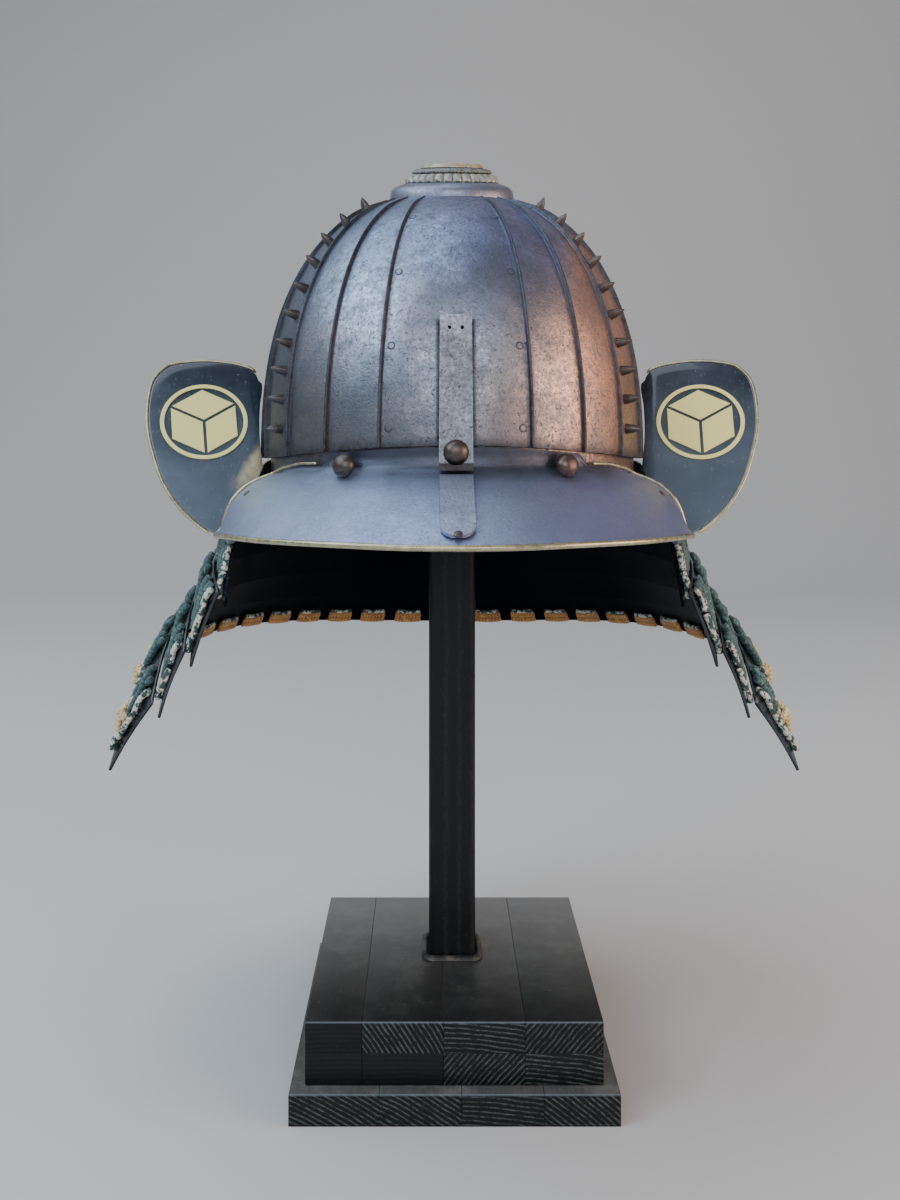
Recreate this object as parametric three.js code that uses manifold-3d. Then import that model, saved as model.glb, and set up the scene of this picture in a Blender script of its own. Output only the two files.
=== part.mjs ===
// Samurai helmet (kabuto) with a laced neck guard, on a plain wooden display stand.
// Millimetres, +Z up, the helmet faces -Y. The origin is the centre of the stand's underside.
import * as THREE from 'three';
import { mergeVertices } from 'three/addons/utils/BufferGeometryUtils.js';
import Module from 'manifold-3d';

const wasm = await Module();
wasm.setup();

// ---- Driving dimensions ----------------------------------------------------------------
const GAP = 0.3;                 // clearance between neighbouring pieces
const RAD = Math.PI / 180;
const AXIS_Y = 6;                // the bowl's upright axis and the post stand at this y

const STAND = { plate: 165, block: 150, board: 16, post: 26, corner: 3, beadWidth: 34, beadHeight: 2.4 };
const POST_HEAD = { radius: 30, top: 466.4, thick: 14, neck: 13 };

// Bowl: a superellipse in upright section, an ellipse in plan that turns round at the crown.
const BOWL = {
  halfWidth: 105.8, halfLength: 120, height: 151, power: 2.4, baseZ: 328, browRise: 10.5,
  lean: 5.5,                     // degrees that the crown leans forward
};
const PLATE = { thick: 2.2, rib: 2.4, ribWidth: 2.2, crownRadius: 38.5, levels: 8 };
const SEAM = { first: 20.5, pitch: 16.4, crownSpread: 3.5 };  // seams in degrees from the front
const SIDE_PLATES = 8;           // between the front and the rear plate, on each side
const BAND = { inset: 3.8, thick: 2, above: 7, below: 9, segments: 44 };
const THORN = { azimuth: 57.8, count: 10, firstZ: 345.5, lastZ: 465, radius: 2.6, length: 8.2, sides: 5 };

// Crown fitting, from below: iron collar, gilt petals, rope ring, rim round the open hole.
const CROWN = {
  hole: 10.5, lean: 9, pivotZ: 472,
  collar: { foot: 35.8, side: 34.6, corner: 30.8, top: 27, z: 472.6, sideHeight: 6.6, cornerRise: 2.8 },
  petals: { foot: 26.4, top: 23.2, z: 484.6, segments: 30 },
  rope: { foot: 22.6, top: 19.6, z: 489.4, segments: 20 },
  rim: { foot: 17.8, top: 16.8, z: 492.4, topZ: 494.8, segments: 18 },
};

// Visor: an upright flange on the band, a soft bend, and a blade that slopes down to its rim.
const VISOR = {
  thick: 1.8, inset: 0.7, segments: 20, bead: 2.6,
  rootAngle: 57.8, bendZ: 328, earDrop: 3.2, flangeEnd: 0.64,
  rimAngle: 80.3, rimCentreY: -40, rimHalfWidth: 122.8, rimHalfLength: 127,
  rimZ: 297.8, rimRise: 4, cornerDrop: 8,
};
const VISOR_CROWN = { middle: 1.2, ear: 6 };      // how far the blade bulges
const VISOR_BEND = { upper: 3.4, lower: 2.4, outward: 3.6, earTop: 1.2 };
const HOLDER = {
  width: 16, topWidth: 15, bottomZ: 329, topZ: 402, thick: 2.5, lean: 3.5, standOff: 1.6,
  notch: 4, holeDrop: 8, holeX: 3,
};
const LEDGE = { depth: 5.4, thick: 2.4, drop: 2.1 };
// Its outline: how far down the visor's blade, and the share of the holder's width there.
const TONGUE = {
  thick: 1.7, outline: [[0.08, 1], [0.33, 1], [0.66, 1], [0.84, 0.95], [0.9, 0.7], [0.93, 0.38]],
};
const DOME = { radius: 5.8, height: 4.8, z: 335.6, sideAngle: 28.4, lift: 3.85 };

// Neck guard. The lower edges rise at the sides, and from the flank on they droop to the front.
const LAME = {
  thick: 1.6, bulge: 1, overlap: 8, segments: 28, topZ: 290, rearZ: 203,
  flank: 0.78, sideRise: 10, droop: 43, droopFrom: 0.73,
};
// Each row is one edge of a lame: half-width and half-length of its rear arc, the arc's power, the
// half-width at the front corner, how far in front of the bowl's axis that corner lies, and how far
// down the guard the edge lies (0 to 1).
const LOWER_EDGES = [
  { halfWidth: 120, halfLength: 134, power: 1.95, corner: 112, reach: 49, depth: 0 },
  { halfWidth: 130, halfLength: 146, power: 1.95, corner: 118.5, reach: 67, depth: 0.3 },
  { halfWidth: 139, halfLength: 155, power: 2.05, corner: 135.5, reach: 70, depth: 0.55 },
  { halfWidth: 151, halfLength: 165, power: 2.1, corner: 152, reach: 69, depth: 0.77 },
  { halfWidth: 169.5, halfLength: 178, power: 2.2, corner: 178, reach: 66, depth: 1 },
];
const FIRST_EDGE = { halfWidth: 105.6, halfLength: 119.6, power: 2, corner: 102.7, reach: 28, z: 326.5 };
const SECOND_TOP_REACH = 34;     // the second lame starts behind the turned-back wings
const STEP_OUT = 3.2;            // a lame's top edge stands this far outside the lame above it
const LACING = {
  columns: 27, width: 9, thick: 3.8, link: 1.1, linkHeight: 3, top: 0.02, endGap: 0.01,
  reaches: [0.75, 0.72, 0.72, 0.5],   // how far down the second to the fifth lame they show
};
const KNOTS = { row: 0.5, height: 11.5, thick: 3.4, link: 1.6, linkHeight: 2.6 };

// Turned-back ends of the first lame. Points of the outline in the wing's own plane, outward and up.
const WING = {
  centre: [138.2, -10.5, 348.6], lean: 31, turn: 11.9, thick: 2, curlFrom: -25, curl: 17, rim: 1.9, fan: 3,
  fanCentre: [-4, -8],
  outline: [
    [-33.2, 26], [-30.5, 34.5], [-20, 39.5], [-2, 42], [16, 40], [24, 35], [29.5, 26], [31.8, 10],
    [31.3, -5.5], [27.7, -22.7], [23.4, -36.5], [16.6, -49.7], [7.7, -60.7], [-1.3, -68.5], [-14, -74],
    [-24, -56], [-31.5, -36], [-30.5, -9], [-31.3, 11],
  ],
  rimFrom: 1, rimTo: 14,         // the gilt rim runs between these outline points
};
const CREST = { radius: 24, ring: 2.4, hexagon: 20.4, slit: 0.9, thick: 0.6, sides: 20, tilt: 2.8 };

// ---- Finishes --------------------------------------------------------------------------
const finish = (color, roughness, metalness) =>
  new THREE.MeshStandardMaterial({ color, roughness, metalness });
const FINISH = {
  russetIron: finish(0x4a3c3f, 0.42, 0.85),
  blackLacquer: finish(0x15171a, 0.25, 0),
  gilt: finish(0x9a8c55, 0.4, 0.9),
  goldLacquer: finish(0xd8c26a, 0.4, 0.3),
  verdigrisGilt: finish(0x8f9377, 0.55, 0.7),
  tealSilk: finish(0x1f4f4b, 0.9, 0),
  goldSilk: finish(0xd9b45c, 0.9, 0),
  blackWood: finish(0x16181a, 0.45, 0),
  paleGlue: finish(0x8c8476, 0.7, 0),
};

const helmet = new THREE.Group();

function addPiece(name, geometry, material, parent = helmet) {
  const mesh = new THREE.Mesh(geometry, material);
  mesh.name = name;
  parent.add(mesh);
  return mesh;
}

// ---- Shapes made from sections -----------------------------------------------------------
const vec = (x, y, z) => new THREE.Vector3(x, y, z);
const lerp = THREE.MathUtils.lerp;
const steps = (count, from, to) => Array.from({ length: count + 1 }, (_, i) => lerp(from, to, i / count));

function signedVolume(points, index) {
  let sum = 0;
  for (let i = 0; i < index.length; i += 3) {
    const [a, b, c] = [points[index[i]], points[index[i + 1]], points[index[i + 2]]];
    sum += a.dot(vec(0, 0, 0).crossVectors(b, c));
  }
  return sum / 6;
}

function solidFrom(points, index) {
  const facing = signedVolume(points, index) > 0 ? index : index.slice().reverse();
  const geometry = new THREE.BufferGeometry();
  geometry.setAttribute('position', new THREE.Float32BufferAttribute(points.flatMap((p) => p.toArray()), 3));
  geometry.setIndex(facing);
  return geometry;
}

// Joins equal-sized closed sections one after another, as a capped bar or a closed ring.
function loft(sections, ring = false) {
  const size = sections[0].length;
  const index = [];
  const spans = ring ? sections.length : sections.length - 1;
  for (let s = 0; s < spans; s += 1) {
    const here = s * size;
    const next = ((s + 1) % sections.length) * size;
    for (let i = 0; i < size; i += 1) {
      const j = (i + 1) % size;
      index.push(here + i, here + j, next + j, here + i, next + j, next + i);
    }
  }
  if (!ring) {
    const last = (sections.length - 1) * size;
    for (let i = 0, j = size - 1; j - i > 1;) {
      index.push(i, j, i + 1, last + i, last + i + 1, last + j);
      i += 1;
      if (j - i > 1) {
        index.push(i, j, j - 1, last + i, last + j - 1, last + j);
        j -= 1;
      }
    }
  }
  return solidFrom(sections.flat(), index);
}

function toManifold(geometry) {
  const bare = geometry.clone();
  bare.deleteAttribute('normal');
  bare.deleteAttribute('uv');
  const merged = mergeVertices(bare, 1e-4);
  const vertProperties = new Float32Array(merged.attributes.position.array);
  const triVerts = new Uint32Array(merged.index.array);
  return new wasm.Manifold(new wasm.Mesh({ numProp: 3, vertProperties, triVerts }));
}

function fromManifold(solid) {
  const mesh = solid.getMesh();
  const geometry = new THREE.BufferGeometry();
  geometry.setAttribute('position', new THREE.BufferAttribute(mesh.vertProperties, 3));
  geometry.setIndex(new THREE.BufferAttribute(mesh.triVerts, 1));
  return geometry;
}

const joined = (geometries) => fromManifold(geometries.map(toManifold).reduce((all, next) => all.add(next)));

function roundedSquare(side, corner) {
  const h = side / 2;
  const shape = new THREE.Shape();
  shape.moveTo(-h + corner, -h);
  shape.lineTo(h - corner, -h);
  shape.absarc(h - corner, -h + corner, corner, -90 * RAD, 0);
  shape.lineTo(h, h - corner);
  shape.absarc(h - corner, h - corner, corner, 0, 90 * RAD);
  shape.lineTo(-h + corner, h);
  shape.absarc(-h + corner, h - corner, corner, 90 * RAD, 180 * RAD);
  shape.lineTo(-h, -h + corner);
  shape.absarc(-h + corner, -h + corner, corner, 180 * RAD, 270 * RAD);
  return shape;
}

const upright = (shape, height, curveSegments = 3) =>
  new THREE.ExtrudeGeometry(shape, { depth: height, bevelEnabled: false, curveSegments });

// A ring turned about the upright axis from a closed profile of [radius, z] points.
function turned(profile, segments) {
  const points = [...profile, profile[0]].map(([r, z]) => new THREE.Vector2(r, z));
  return new THREE.LatheGeometry(points, segments).rotateX(90 * RAD).translate(0, AXIS_Y, 0);
}

// ---- Stand -------------------------------------------------------------------------------
function buildStand() {
  const { plate, block, board, post, corner, beadWidth, beadHeight } = STAND;
  const blockTop = board * 3;
  addPiece('base_plate', new THREE.BoxGeometry(plate, plate, board), FINISH.blackWood).position.z = board / 2;
  const blockHeight = board * 2 - GAP;
  addPiece('base_block', new THREE.BoxGeometry(block, block, blockHeight), FINISH.blackWood)
    .position.z = blockTop - blockHeight / 2;
  const postFoot = blockTop + GAP;
  const postTop = POST_HEAD.top - POST_HEAD.thick - GAP;
  addPiece('post', upright(roundedSquare(post, corner), postTop - postFoot), FINISH.blackWood)
    .position.set(0, AXIS_Y, postFoot);
  const beadShape = roundedSquare(beadWidth, corner * 2);
  beadShape.holes.push(roundedSquare(post + GAP * 2, corner));
  addPiece('foot_bead', upright(beadShape, beadHeight), FINISH.paleGlue).position.set(0, AXIS_Y, postFoot);
  const { radius, top, thick, neck } = POST_HEAD;
  const head = [[0, top - thick], [neck, top - thick], [radius, top - thick / 2], [radius, top], [0, top]];
  addPiece('post_head', turned(head, 14), FINISH.blackWood);
}

// ---- Bowl --------------------------------------------------------------------------------
// Angles: azimuth runs from the front (0) to each side (+-90) and the rear (180); rise runs up a rib.
const browZ = (azimuth) => BOWL.baseZ + BOWL.browRise * Math.max(0, Math.cos(azimuth)) ** 2;
const riseAt = (z) => Math.asin(Math.min(1, Math.max(0, z - BOWL.baseZ) / BOWL.height) ** (BOWL.power / 2));
const crownRise = Math.acos((PLATE.crownRadius / BOWL.halfWidth) ** (BOWL.power / 2));

function bowlPoint(azimuth, rise, out = 0) {
  const wide = Math.cos(rise) ** (2 / BOWL.power);
  const high = Math.sin(rise) ** (2 / BOWL.power);
  const halfLength = BOWL.halfLength - (BOWL.halfLength - BOWL.halfWidth) * high ** 4;
  const x = (BOWL.halfWidth + out) * wide * Math.sin(azimuth);
  const y = AXIS_Y - (halfLength + out) * wide * Math.cos(azimuth);
  const lean = Math.tan(BOWL.lean * RAD) * (y - AXIS_Y) * high ** 6;
  return vec(x, y, BOWL.baseZ + (BOWL.height + out) * high + lean);
}

// Seams spread a little from the front plate towards the crown.
function spread(azimuth, level) {
  const turn = Math.sign(azimuth) * Math.min(1, Math.abs(azimuth) / (SEAM.first * RAD));
  return azimuth + turn * SEAM.crownSpread * RAD * Math.max(0, Math.cos(azimuth)) * level ** 3;
}

// One plate between two azimuths. A rib is the plate's edge turned up along the seam.
function bowlPlate(from, to, arcs, ribAtFrom, ribAtTo) {
  const seam = (GAP / 2) / BOWL.halfWidth;
  const [start, end] = [from + seam, to - seam];
  const ribSpan = PLATE.ribWidth / BOWL.halfWidth;
  const outer = [];
  if (ribAtFrom) {
    outer.push([start, PLATE.rib], [start + ribSpan, PLATE.rib]);
  }
  const faceFrom = ribAtFrom ? start + ribSpan : start;
  const faceTo = ribAtTo ? end - ribSpan : end;
  steps(arcs, faceFrom, faceTo).forEach((azimuth) => outer.push([azimuth, 0]));
  if (ribAtTo) {
    outer.push([end - ribSpan, PLATE.rib], [end, PLATE.rib]);
  }
  const inner = steps(Math.max(2, arcs - 1), end, start).map((azimuth) => [azimuth, -PLATE.thick]);
  const outline = [...outer, ...inner];
  const sections = steps(PLATE.levels, 0, 1).map((level) => outline.map(([azimuth, out]) => {
    const rise = lerp(riseAt(browZ(azimuth)), crownRise, level);
    return bowlPoint(spread(azimuth, level), rise, out);
  }));
  return loft(sections);
}

// A row of bullet-shaped rivets, evenly spaced up the plate and square to it.
function thornRow(side) {
  const { azimuth, count, firstZ, lastZ, radius, length, sides } = THORN;
  const angle = side * azimuth * RAD;
  const path = steps(60, riseAt(firstZ), riseAt(lastZ)).map((rise) => bowlPoint(angle, rise));
  const curve = new THREE.CatmullRomCurve3(path);
  return steps(count - 1, 0, 1).map((t) => {
    const foot = curve.getPointAt(t);
    const along = curve.getTangentAt(t);
    const around = vec(side * Math.cos(angle) * BOWL.halfWidth, side * Math.sin(angle) * BOWL.halfLength, 0);
    const out = vec(0, 0, 0).crossVectors(along, around).normalize();
    out.multiplyScalar(Math.sign(out.dot(vec(foot.x, foot.y - AXIS_Y, 0))));
    const profile = [[0, -1.4], [radius, -1.4], [radius * 0.8, length * 0.55], [0, length]];
    const rivet = new THREE.LatheGeometry(profile.map(([r, h]) => new THREE.Vector2(r, h)), sides);
    rivet.applyQuaternion(new THREE.Quaternion().setFromUnitVectors(vec(0, 1, 0), out));
    return rivet.translate(foot.x, foot.y, foot.z);
  });
}

function buildBowl() {
  const front = SEAM.first * RAD;
  const rear = front + SIDE_PLATES * SEAM.pitch * RAD;
  addPiece('bowl_plate_front', bowlPlate(-front, front, 6, true, true), FINISH.russetIron);
  addPiece('bowl_plate_rear', bowlPlate(rear, 2 * Math.PI - rear, 6, false, false), FINISH.russetIron);
  const seams = steps(SIDE_PLATES, front, rear);
  for (const [side, word] of [[-1, 'left'], [1, 'right']]) {
    for (let i = 0; i < SIDE_PLATES; i += 1) {
      const plate = side > 0
        ? bowlPlate(seams[i], seams[i + 1], 3, false, true)
        : bowlPlate(-seams[i + 1], -seams[i], 3, true, false);
      const holdsThorns = seams[i] < THORN.azimuth * RAD && THORN.azimuth * RAD < seams[i + 1];
      const geometry = holdsThorns ? joined([plate, ...thornRow(side)]) : plate;
      addPiece(`bowl_plate_${word}_${i + 1}`, geometry, FINISH.russetIron);
    }
  }
}

// The band round the bowl's base lies inside the plates and shows below their edge.
function buildBand() {
  const { inset, thick, above, below, segments } = BAND;
  const around = steps(segments, 0, 2 * Math.PI).slice(0, segments);
  const sections = around.map((azimuth) => {
    const edge = browZ(azimuth);
    const corner = (out, z) => {
      const p = bowlPoint(azimuth, 0, out);
      return vec(p.x, p.y, z);
    };
    return [
      corner(-inset, edge + above), corner(-inset, edge - below),
      corner(-inset - thick, edge - below), corner(-inset - thick, edge + above),
    ];
  });
  addPiece('base_band', loft(sections, true), FINISH.russetIron);
}

// ---- Crown -------------------------------------------------------------------------------
function buildCrown() {
  const { hole, lean, pivotZ, collar, petals, rope, rim } = CROWN;
  const rings = new THREE.Group();
  rings.rotation.x = lean * RAD;
  rings.position.set(0, AXIS_Y, pivotZ);
  helmet.add(rings);
  const addRing = (name, profile, segments, material) =>
    addPiece(name, turned(profile, segments).translate(0, -AXIS_Y, -pivotZ), material, rings);
  const sideTop = collar.z + collar.sideHeight;
  const collarProfile = [
    [hole, collar.z], [collar.foot, collar.z], [collar.side, sideTop],
    [collar.corner, sideTop + collar.cornerRise], [collar.top, petals.z - GAP], [hole, petals.z - GAP],
  ];
  addRing('crown_collar', collarProfile, 24, FINISH.russetIron);
  const cone = ({ foot, top, z }, topZ, bore) => [[bore, z], [foot, z], [top, topZ], [bore, topZ]];
  addRing('crown_petals', cone(petals, rope.z - GAP, hole + 1), petals.segments, FINISH.verdigrisGilt);
  addRing('crown_rope_ring', cone(rope, rim.z - GAP, hole + 1), rope.segments, FINISH.verdigrisGilt);
  addRing('crown_rim', cone(rim, rim.topZ, hole), rim.segments, FINISH.verdigrisGilt);
}

// ---- Visor -------------------------------------------------------------------------------
const bulge = (s) => Math.sin(Math.PI * s * 0.94);    // s runs down the blade, from 0 to 1

// One section of the visor, from its top edge to its rim. across runs from ear to ear (-1 to 1).
function visorSection(across) {
  const rootAngle = across * VISOR.rootAngle * RAD;
  const rimAngle = across * VISOR.rimAngle * RAD;
  const bendZ = VISOR.bendZ - VISOR.earDrop * across ** 2;
  const root = bowlPoint(rootAngle, 0, -VISOR.inset).setZ(bendZ);
  const rimZ = VISOR.rimZ + VISOR.rimRise * across ** 2 - VISOR.cornerDrop * across ** 8;
  const rimX = VISOR.rimHalfWidth * Math.sin(rimAngle);
  const rimY = VISOR.rimCentreY - VISOR.rimHalfLength * Math.cos(rimAngle);
  const rim = vec(rimX, rimY, rimZ);
  const outward = vec(rim.x - root.x, rim.y - root.y, 0).normalize();
  const slope = Math.atan2(root.z - rim.z, Math.hypot(rim.x - root.x, rim.y - root.y));
  const bladeNormal = outward.clone().multiplyScalar(Math.sin(slope)).setZ(Math.cos(slope));
  const bendNormal = bladeNormal.clone().add(outward).normalize();
  const crown = VISOR_CROWN.middle + VISOR_CROWN.ear * across ** 4;
  const hasFlange = Math.abs(across) < VISOR.flangeEnd;
  const flangeZ = hasFlange ? browZ(rootAngle) - GAP * 3 : bendZ + VISOR_BEND.earTop;
  const bendTop = hasFlange ? VISOR_BEND.upper : VISOR_BEND.earTop / 2;
  const points = [
    { at: root.clone().setZ(flangeZ), normal: outward },
    { at: root.clone().setZ(bendZ + bendTop), normal: outward },
    {
      at: root.clone().addScaledVector(outward, VISOR_BEND.outward).setZ(bendZ - VISOR_BEND.lower),
      normal: bendNormal,
    },
  ];
  const bladeTop = points[2].at;
  for (const s of [0.33, 0.66, 1]) {
    const at = bladeTop.clone().lerp(rim, s).addScaledVector(bladeNormal, crown * bulge(s));
    points.push({ at, normal: bladeNormal });
  }
  return points;
}

function buildVisor() {
  const stations = steps(VISOR.segments, -1, 1);
  const outline = stations.map((across) => visorSection(across));
  const blade = loft(outline.map((points) => [
    ...points.map(({ at }) => at),
    ...points.map(({ at, normal }) => at.clone().addScaledVector(normal, -VISOR.thick)).reverse(),
  ]));
  addPiece('visor', blade, FINISH.russetIron);

  // The bead follows the free edge: in along one ear's top, down its back, and round the rim.
  const lift = VISOR.bead * Math.SQRT1_2 + GAP;
  const topEdge = (points) => points[0].at.clone().add(vec(0, 0, VISOR.bead / 2 + GAP));
  const rimEdge = (points) => {
    const [before, end] = points.slice(-2).map(({ at }) => at);
    return end.clone().addScaledVector(end.clone().sub(before).normalize(), lift)
      .addScaledVector(points.at(-1).normal, -VISOR.thick / 2);
  };
  const ear = (side) => {
    const free = steps(3, VISOR.flangeEnd + 0.06, 0.96).map((a) => topEdge(visorSection(a * side)));
    const inward = visorSection(side * 0.96);
    const edge = visorSection(side);
    const beyond = ({ at, normal }, i) => {
      const aside = at.clone().sub(inward[i].at).normalize().multiplyScalar(lift + 0.5);
      if (i === 0) {
        aside.z += lift;
      }
      if (i === edge.length - 1) {
        aside.addScaledVector(at.clone().sub(edge[i - 1].at).normalize(), lift);
      }
      return at.clone().add(aside).addScaledVector(normal, -VISOR.thick / 2);
    };
    return [...free, ...edge.map(beyond).filter((_, i) => i !== 1)];
  };
  const route = [...ear(-1), ...outline.slice(1, -1).map(rimEdge), ...ear(1).reverse()];
  addPiece('visor_bead', squareBar(route, VISOR.bead), FINISH.gilt);
}

// A square bar along a route of points, kept square to the route and to the up direction.
function squareBar(route, size, up = vec(0, 0, 1)) {
  const sections = route.map((p, i) => {
    const ahead = route[Math.min(i + 1, route.length - 1)].clone().sub(route[Math.max(i - 1, 0)]).normalize();
    const side = vec(0, 0, 0).crossVectors(ahead, up).normalize().multiplyScalar(size / 2);
    const above = vec(0, 0, 0).crossVectors(side, ahead).normalize().multiplyScalar(size / 2);
    return [[1, 1], [-1, 1], [-1, -1], [1, -1]].map(([a, b]) =>
      p.clone().addScaledVector(side, a).addScaledVector(above, b));
  });
  return loft(sections);
}

function buildCrestHolder() {
  const { width, topWidth, bottomZ, topZ, thick, lean, standOff, notch, holeDrop, holeX } = HOLDER;
  const height = topZ - bottomZ;
  const shape = new THREE.Shape();
  shape.moveTo(-width / 2, 0);
  shape.lineTo(width / 2, 0);
  shape.lineTo(topWidth / 2, height);
  shape.quadraticCurveTo(0, height - notch, -topWidth / 2, height);
  for (const x of [-holeX, holeX]) {
    shape.holes.push(new THREE.Path().absarc(x, height - holeDrop, 1, 0, 2 * Math.PI));
  }
  const strip = upright(shape, thick, 3).rotateX(90 * RAD);
  const lip = new THREE.BoxGeometry(width, LEDGE.depth, LEDGE.thick)
    .translate(0, -LEDGE.depth / 2 - thick / 2, LEDGE.thick / 2 - LEDGE.drop);
  const holder = addPiece('crest_holder', joined([strip, lip]), FINISH.russetIron);
  holder.rotation.x = -lean * RAD;
  holder.position.set(0, AXIS_Y - BOWL.halfLength - standOff, bottomZ);

  // The tongue under the ledge is riveted down the middle of the blade and ends round.
  const blade = visorSection(0);
  const [upper, rim] = [blade[2].at, blade.at(-1).at];
  const normal = blade.at(-1).normal;
  const tongue = TONGUE.outline.map(([s, share]) => {
    const half = share * width / 2;
    const clear = VISOR_CROWN.middle * bulge(s) + GAP + 0.25;
    const at = upper.clone().lerp(rim, s).addScaledVector(normal, clear);
    const top = at.clone().addScaledVector(normal, TONGUE.thick);
    return [at.clone().setX(-half), at.clone().setX(half), top.clone().setX(half), top.clone().setX(-half)];
  });
  addPiece('crest_holder_tongue', loft(tongue), FINISH.russetIron);
}

function domeRivet(name, foot, out) {
  const { radius, height } = DOME;
  const shoulder = [[radius * 0.82, height * 0.62], [radius * 0.42, height * 0.93]];
  const profile = [[0, 0], [radius, 0], ...shoulder, [0, height]];
  const dome = new THREE.LatheGeometry(profile.map(([r, h]) => new THREE.Vector2(r, h)), 10);
  dome.applyQuaternion(new THREE.Quaternion().setFromUnitVectors(vec(0, 1, 0), out.clone().normalize()));
  addPiece(name, dome, FINISH.russetIron).position.copy(foot);
}

function buildDomeRivets() {
  const holderFace = AXIS_Y - BOWL.halfLength - HOLDER.standOff - HOLDER.thick;
  const out = vec(0, -1, Math.tan(HOLDER.lean * RAD));
  domeRivet('dome_rivet_centre', vec(0, holderFace, DOME.z), out);
  for (const [side, word] of [[-1, 'left'], [1, 'right']]) {
    const bend = visorSection(side * DOME.sideAngle / VISOR.rootAngle);
    const middle = bend[1].at.clone().lerp(bend[2].at, 0.5);
    const square = bend[2].normal.clone().add(bend[1].normal).normalize();
    domeRivet(`dome_rivet_${word}`, middle.addScaledVector(square, DOME.lift), square);
  }
}

// ---- Neck guard ----------------------------------------------------------------------------
// along runs from the left front corner (-1) by the rear (0) to the right front corner (1).
// Up to the flank an edge is a rear arc, and from there it runs forward to its corner.
function guardEdgeZ(along, depth) {
  const w = Math.abs(along);
  const rise = LAME.sideRise * THREE.MathUtils.smoothstep(w, 0, 0.55);
  const droop = LAME.droop * Math.max(0, (w - LAME.droopFrom) / (1 - LAME.droopFrom)) ** 3;
  return lerp(LAME.topZ, LAME.rearZ + rise - droop, depth);
}

function edgePoint({ halfWidth, halfLength, power, corner, reach, depth, z }, along, lift = 0) {
  const w = Math.abs(along);
  const height = (z ?? guardEdgeZ(along, depth)) + lift;
  const side = Math.sign(along);
  if (w > LAME.flank) {
    const forward = (w - LAME.flank) / (1 - LAME.flank);
    return vec(side * lerp(halfWidth, corner, forward ** 2), AXIS_Y - reach * forward, height);
  }
  const angle = (w / LAME.flank) * 90 * RAD;
  const x = side * halfWidth * Math.sin(angle) ** (2 / power);
  return vec(x, AXIS_Y + halfLength * Math.cos(angle) ** (2 / power), height);
}

// A point on the outer face of a lame: down runs from its top edge (0) to its bottom edge (1).
function lamePoint(index, along, down, out = 0) {
  const lower = LOWER_EDGES[index];
  const above = LOWER_EDGES[index - 1];
  const upper = index === 0 ? FIRST_EDGE
    : {
      ...above, halfWidth: above.halfWidth + STEP_OUT, halfLength: above.halfLength + STEP_OUT,
      corner: above.corner + STEP_OUT, reach: index === 1 ? SECOND_TOP_REACH : above.reach,
    };
  const top = edgePoint(upper, along, index === 0 ? 0 : LAME.overlap);
  const bottom = edgePoint(lower, along);
  const ahead = edgePoint(upper, along + 0.01).sub(edgePoint(upper, along - 0.01));
  const outward = vec(-ahead.y, ahead.x, 0).normalize();
  const flare = Math.hypot(bottom.x, bottom.y - AXIS_Y) - Math.hypot(top.x, top.y - AXIS_Y);
  const slope = Math.atan2(flare, top.z - bottom.z);
  const normal = outward.multiplyScalar(Math.cos(slope)).setZ(Math.sin(slope));
  return top.lerp(bottom, down).addScaledVector(normal, out + LAME.bulge * Math.sin(Math.PI * down));
}

function lameSheet(index) {
  const downs = [0, 0.5, 1];
  return loft(steps(LAME.segments, -1, 1).map((along) => [
    ...downs.map((down) => lamePoint(index, along, down)),
    ...downs.slice().reverse().map((down) => lamePoint(index, along, down, -LAME.thick)),
  ]));
}

// Places of the lacing's columns along a lame, with half the share that one column takes.
function lacingColumns(index) {
  const { columns, width, endGap } = LACING;
  const half = (width / 2) / (LOWER_EDGES[index].halfWidth * 1.95);
  const span = lamePoint(index, 0.5, 0).distanceTo(lamePoint(index, 0.5, 1));
  return { middles: steps(columns - 1, -1 + half + endGap, 1 - half - endGap), half, span };
}

// One bar along a lame, as wide strips down its face joined by thin links between them.
function lacedBar(index, bottomAt, { top, thick, link, linkHeight }, height) {
  const { middles, half, span } = lacingColumns(index);
  const lift = GAP + LAME.bulge;
  const ridge = (along, out, down) => [
    lamePoint(index, along, top, lift),
    lamePoint(index, along, lerp(top, down, 0.6), lift + out),
    lamePoint(index, along, down, lift),
  ];
  const sections = [];
  middles.forEach((middle, i) => {
    if (i > 0) {
      sections.push(ridge((middle + middles[i - 1]) / 2, link, top + linkHeight / span));
    }
    for (const along of bottomAt(middle, half)) {
      sections.push(ridge(along, thick, top + height / span));
    }
  });
  return loft(sections);
}

// Pairs of cords down a lame's face, linked by the thin run along its top edge.
function lacingRow(index) {
  const { span } = lacingColumns(index);
  const height = (LACING.reaches[index - 1] - LACING.top) * span;
  return lacedBar(index, (middle, half) => [middle - half, middle + half], LACING, height);
}

// The wavy line along the lowest lame, with a cross knot hanging from it at every column.
function knotRow() {
  const shape = { ...KNOTS, top: KNOTS.row };
  return lacedBar(LOWER_EDGES.length - 1, (middle) => [middle], shape, KNOTS.height);
}

// ---- Turned-back wings of the first lame ------------------------------------------------------
function wingFrame(side) {
  const [x, y, z] = WING.centre;
  const [lean, turn] = [WING.lean * RAD, WING.turn * RAD];
  return {
    centre: vec(side * x, y, z),
    outward: vec(side * Math.cos(turn), -Math.sin(turn), 0),
    up: vec(side * Math.sin(turn) * Math.sin(lean), Math.cos(turn) * Math.sin(lean), Math.cos(lean)),
    normal: vec(-side * Math.sin(turn) * Math.cos(lean), -Math.cos(turn) * Math.cos(lean), Math.sin(lean)),
  };
}

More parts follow.
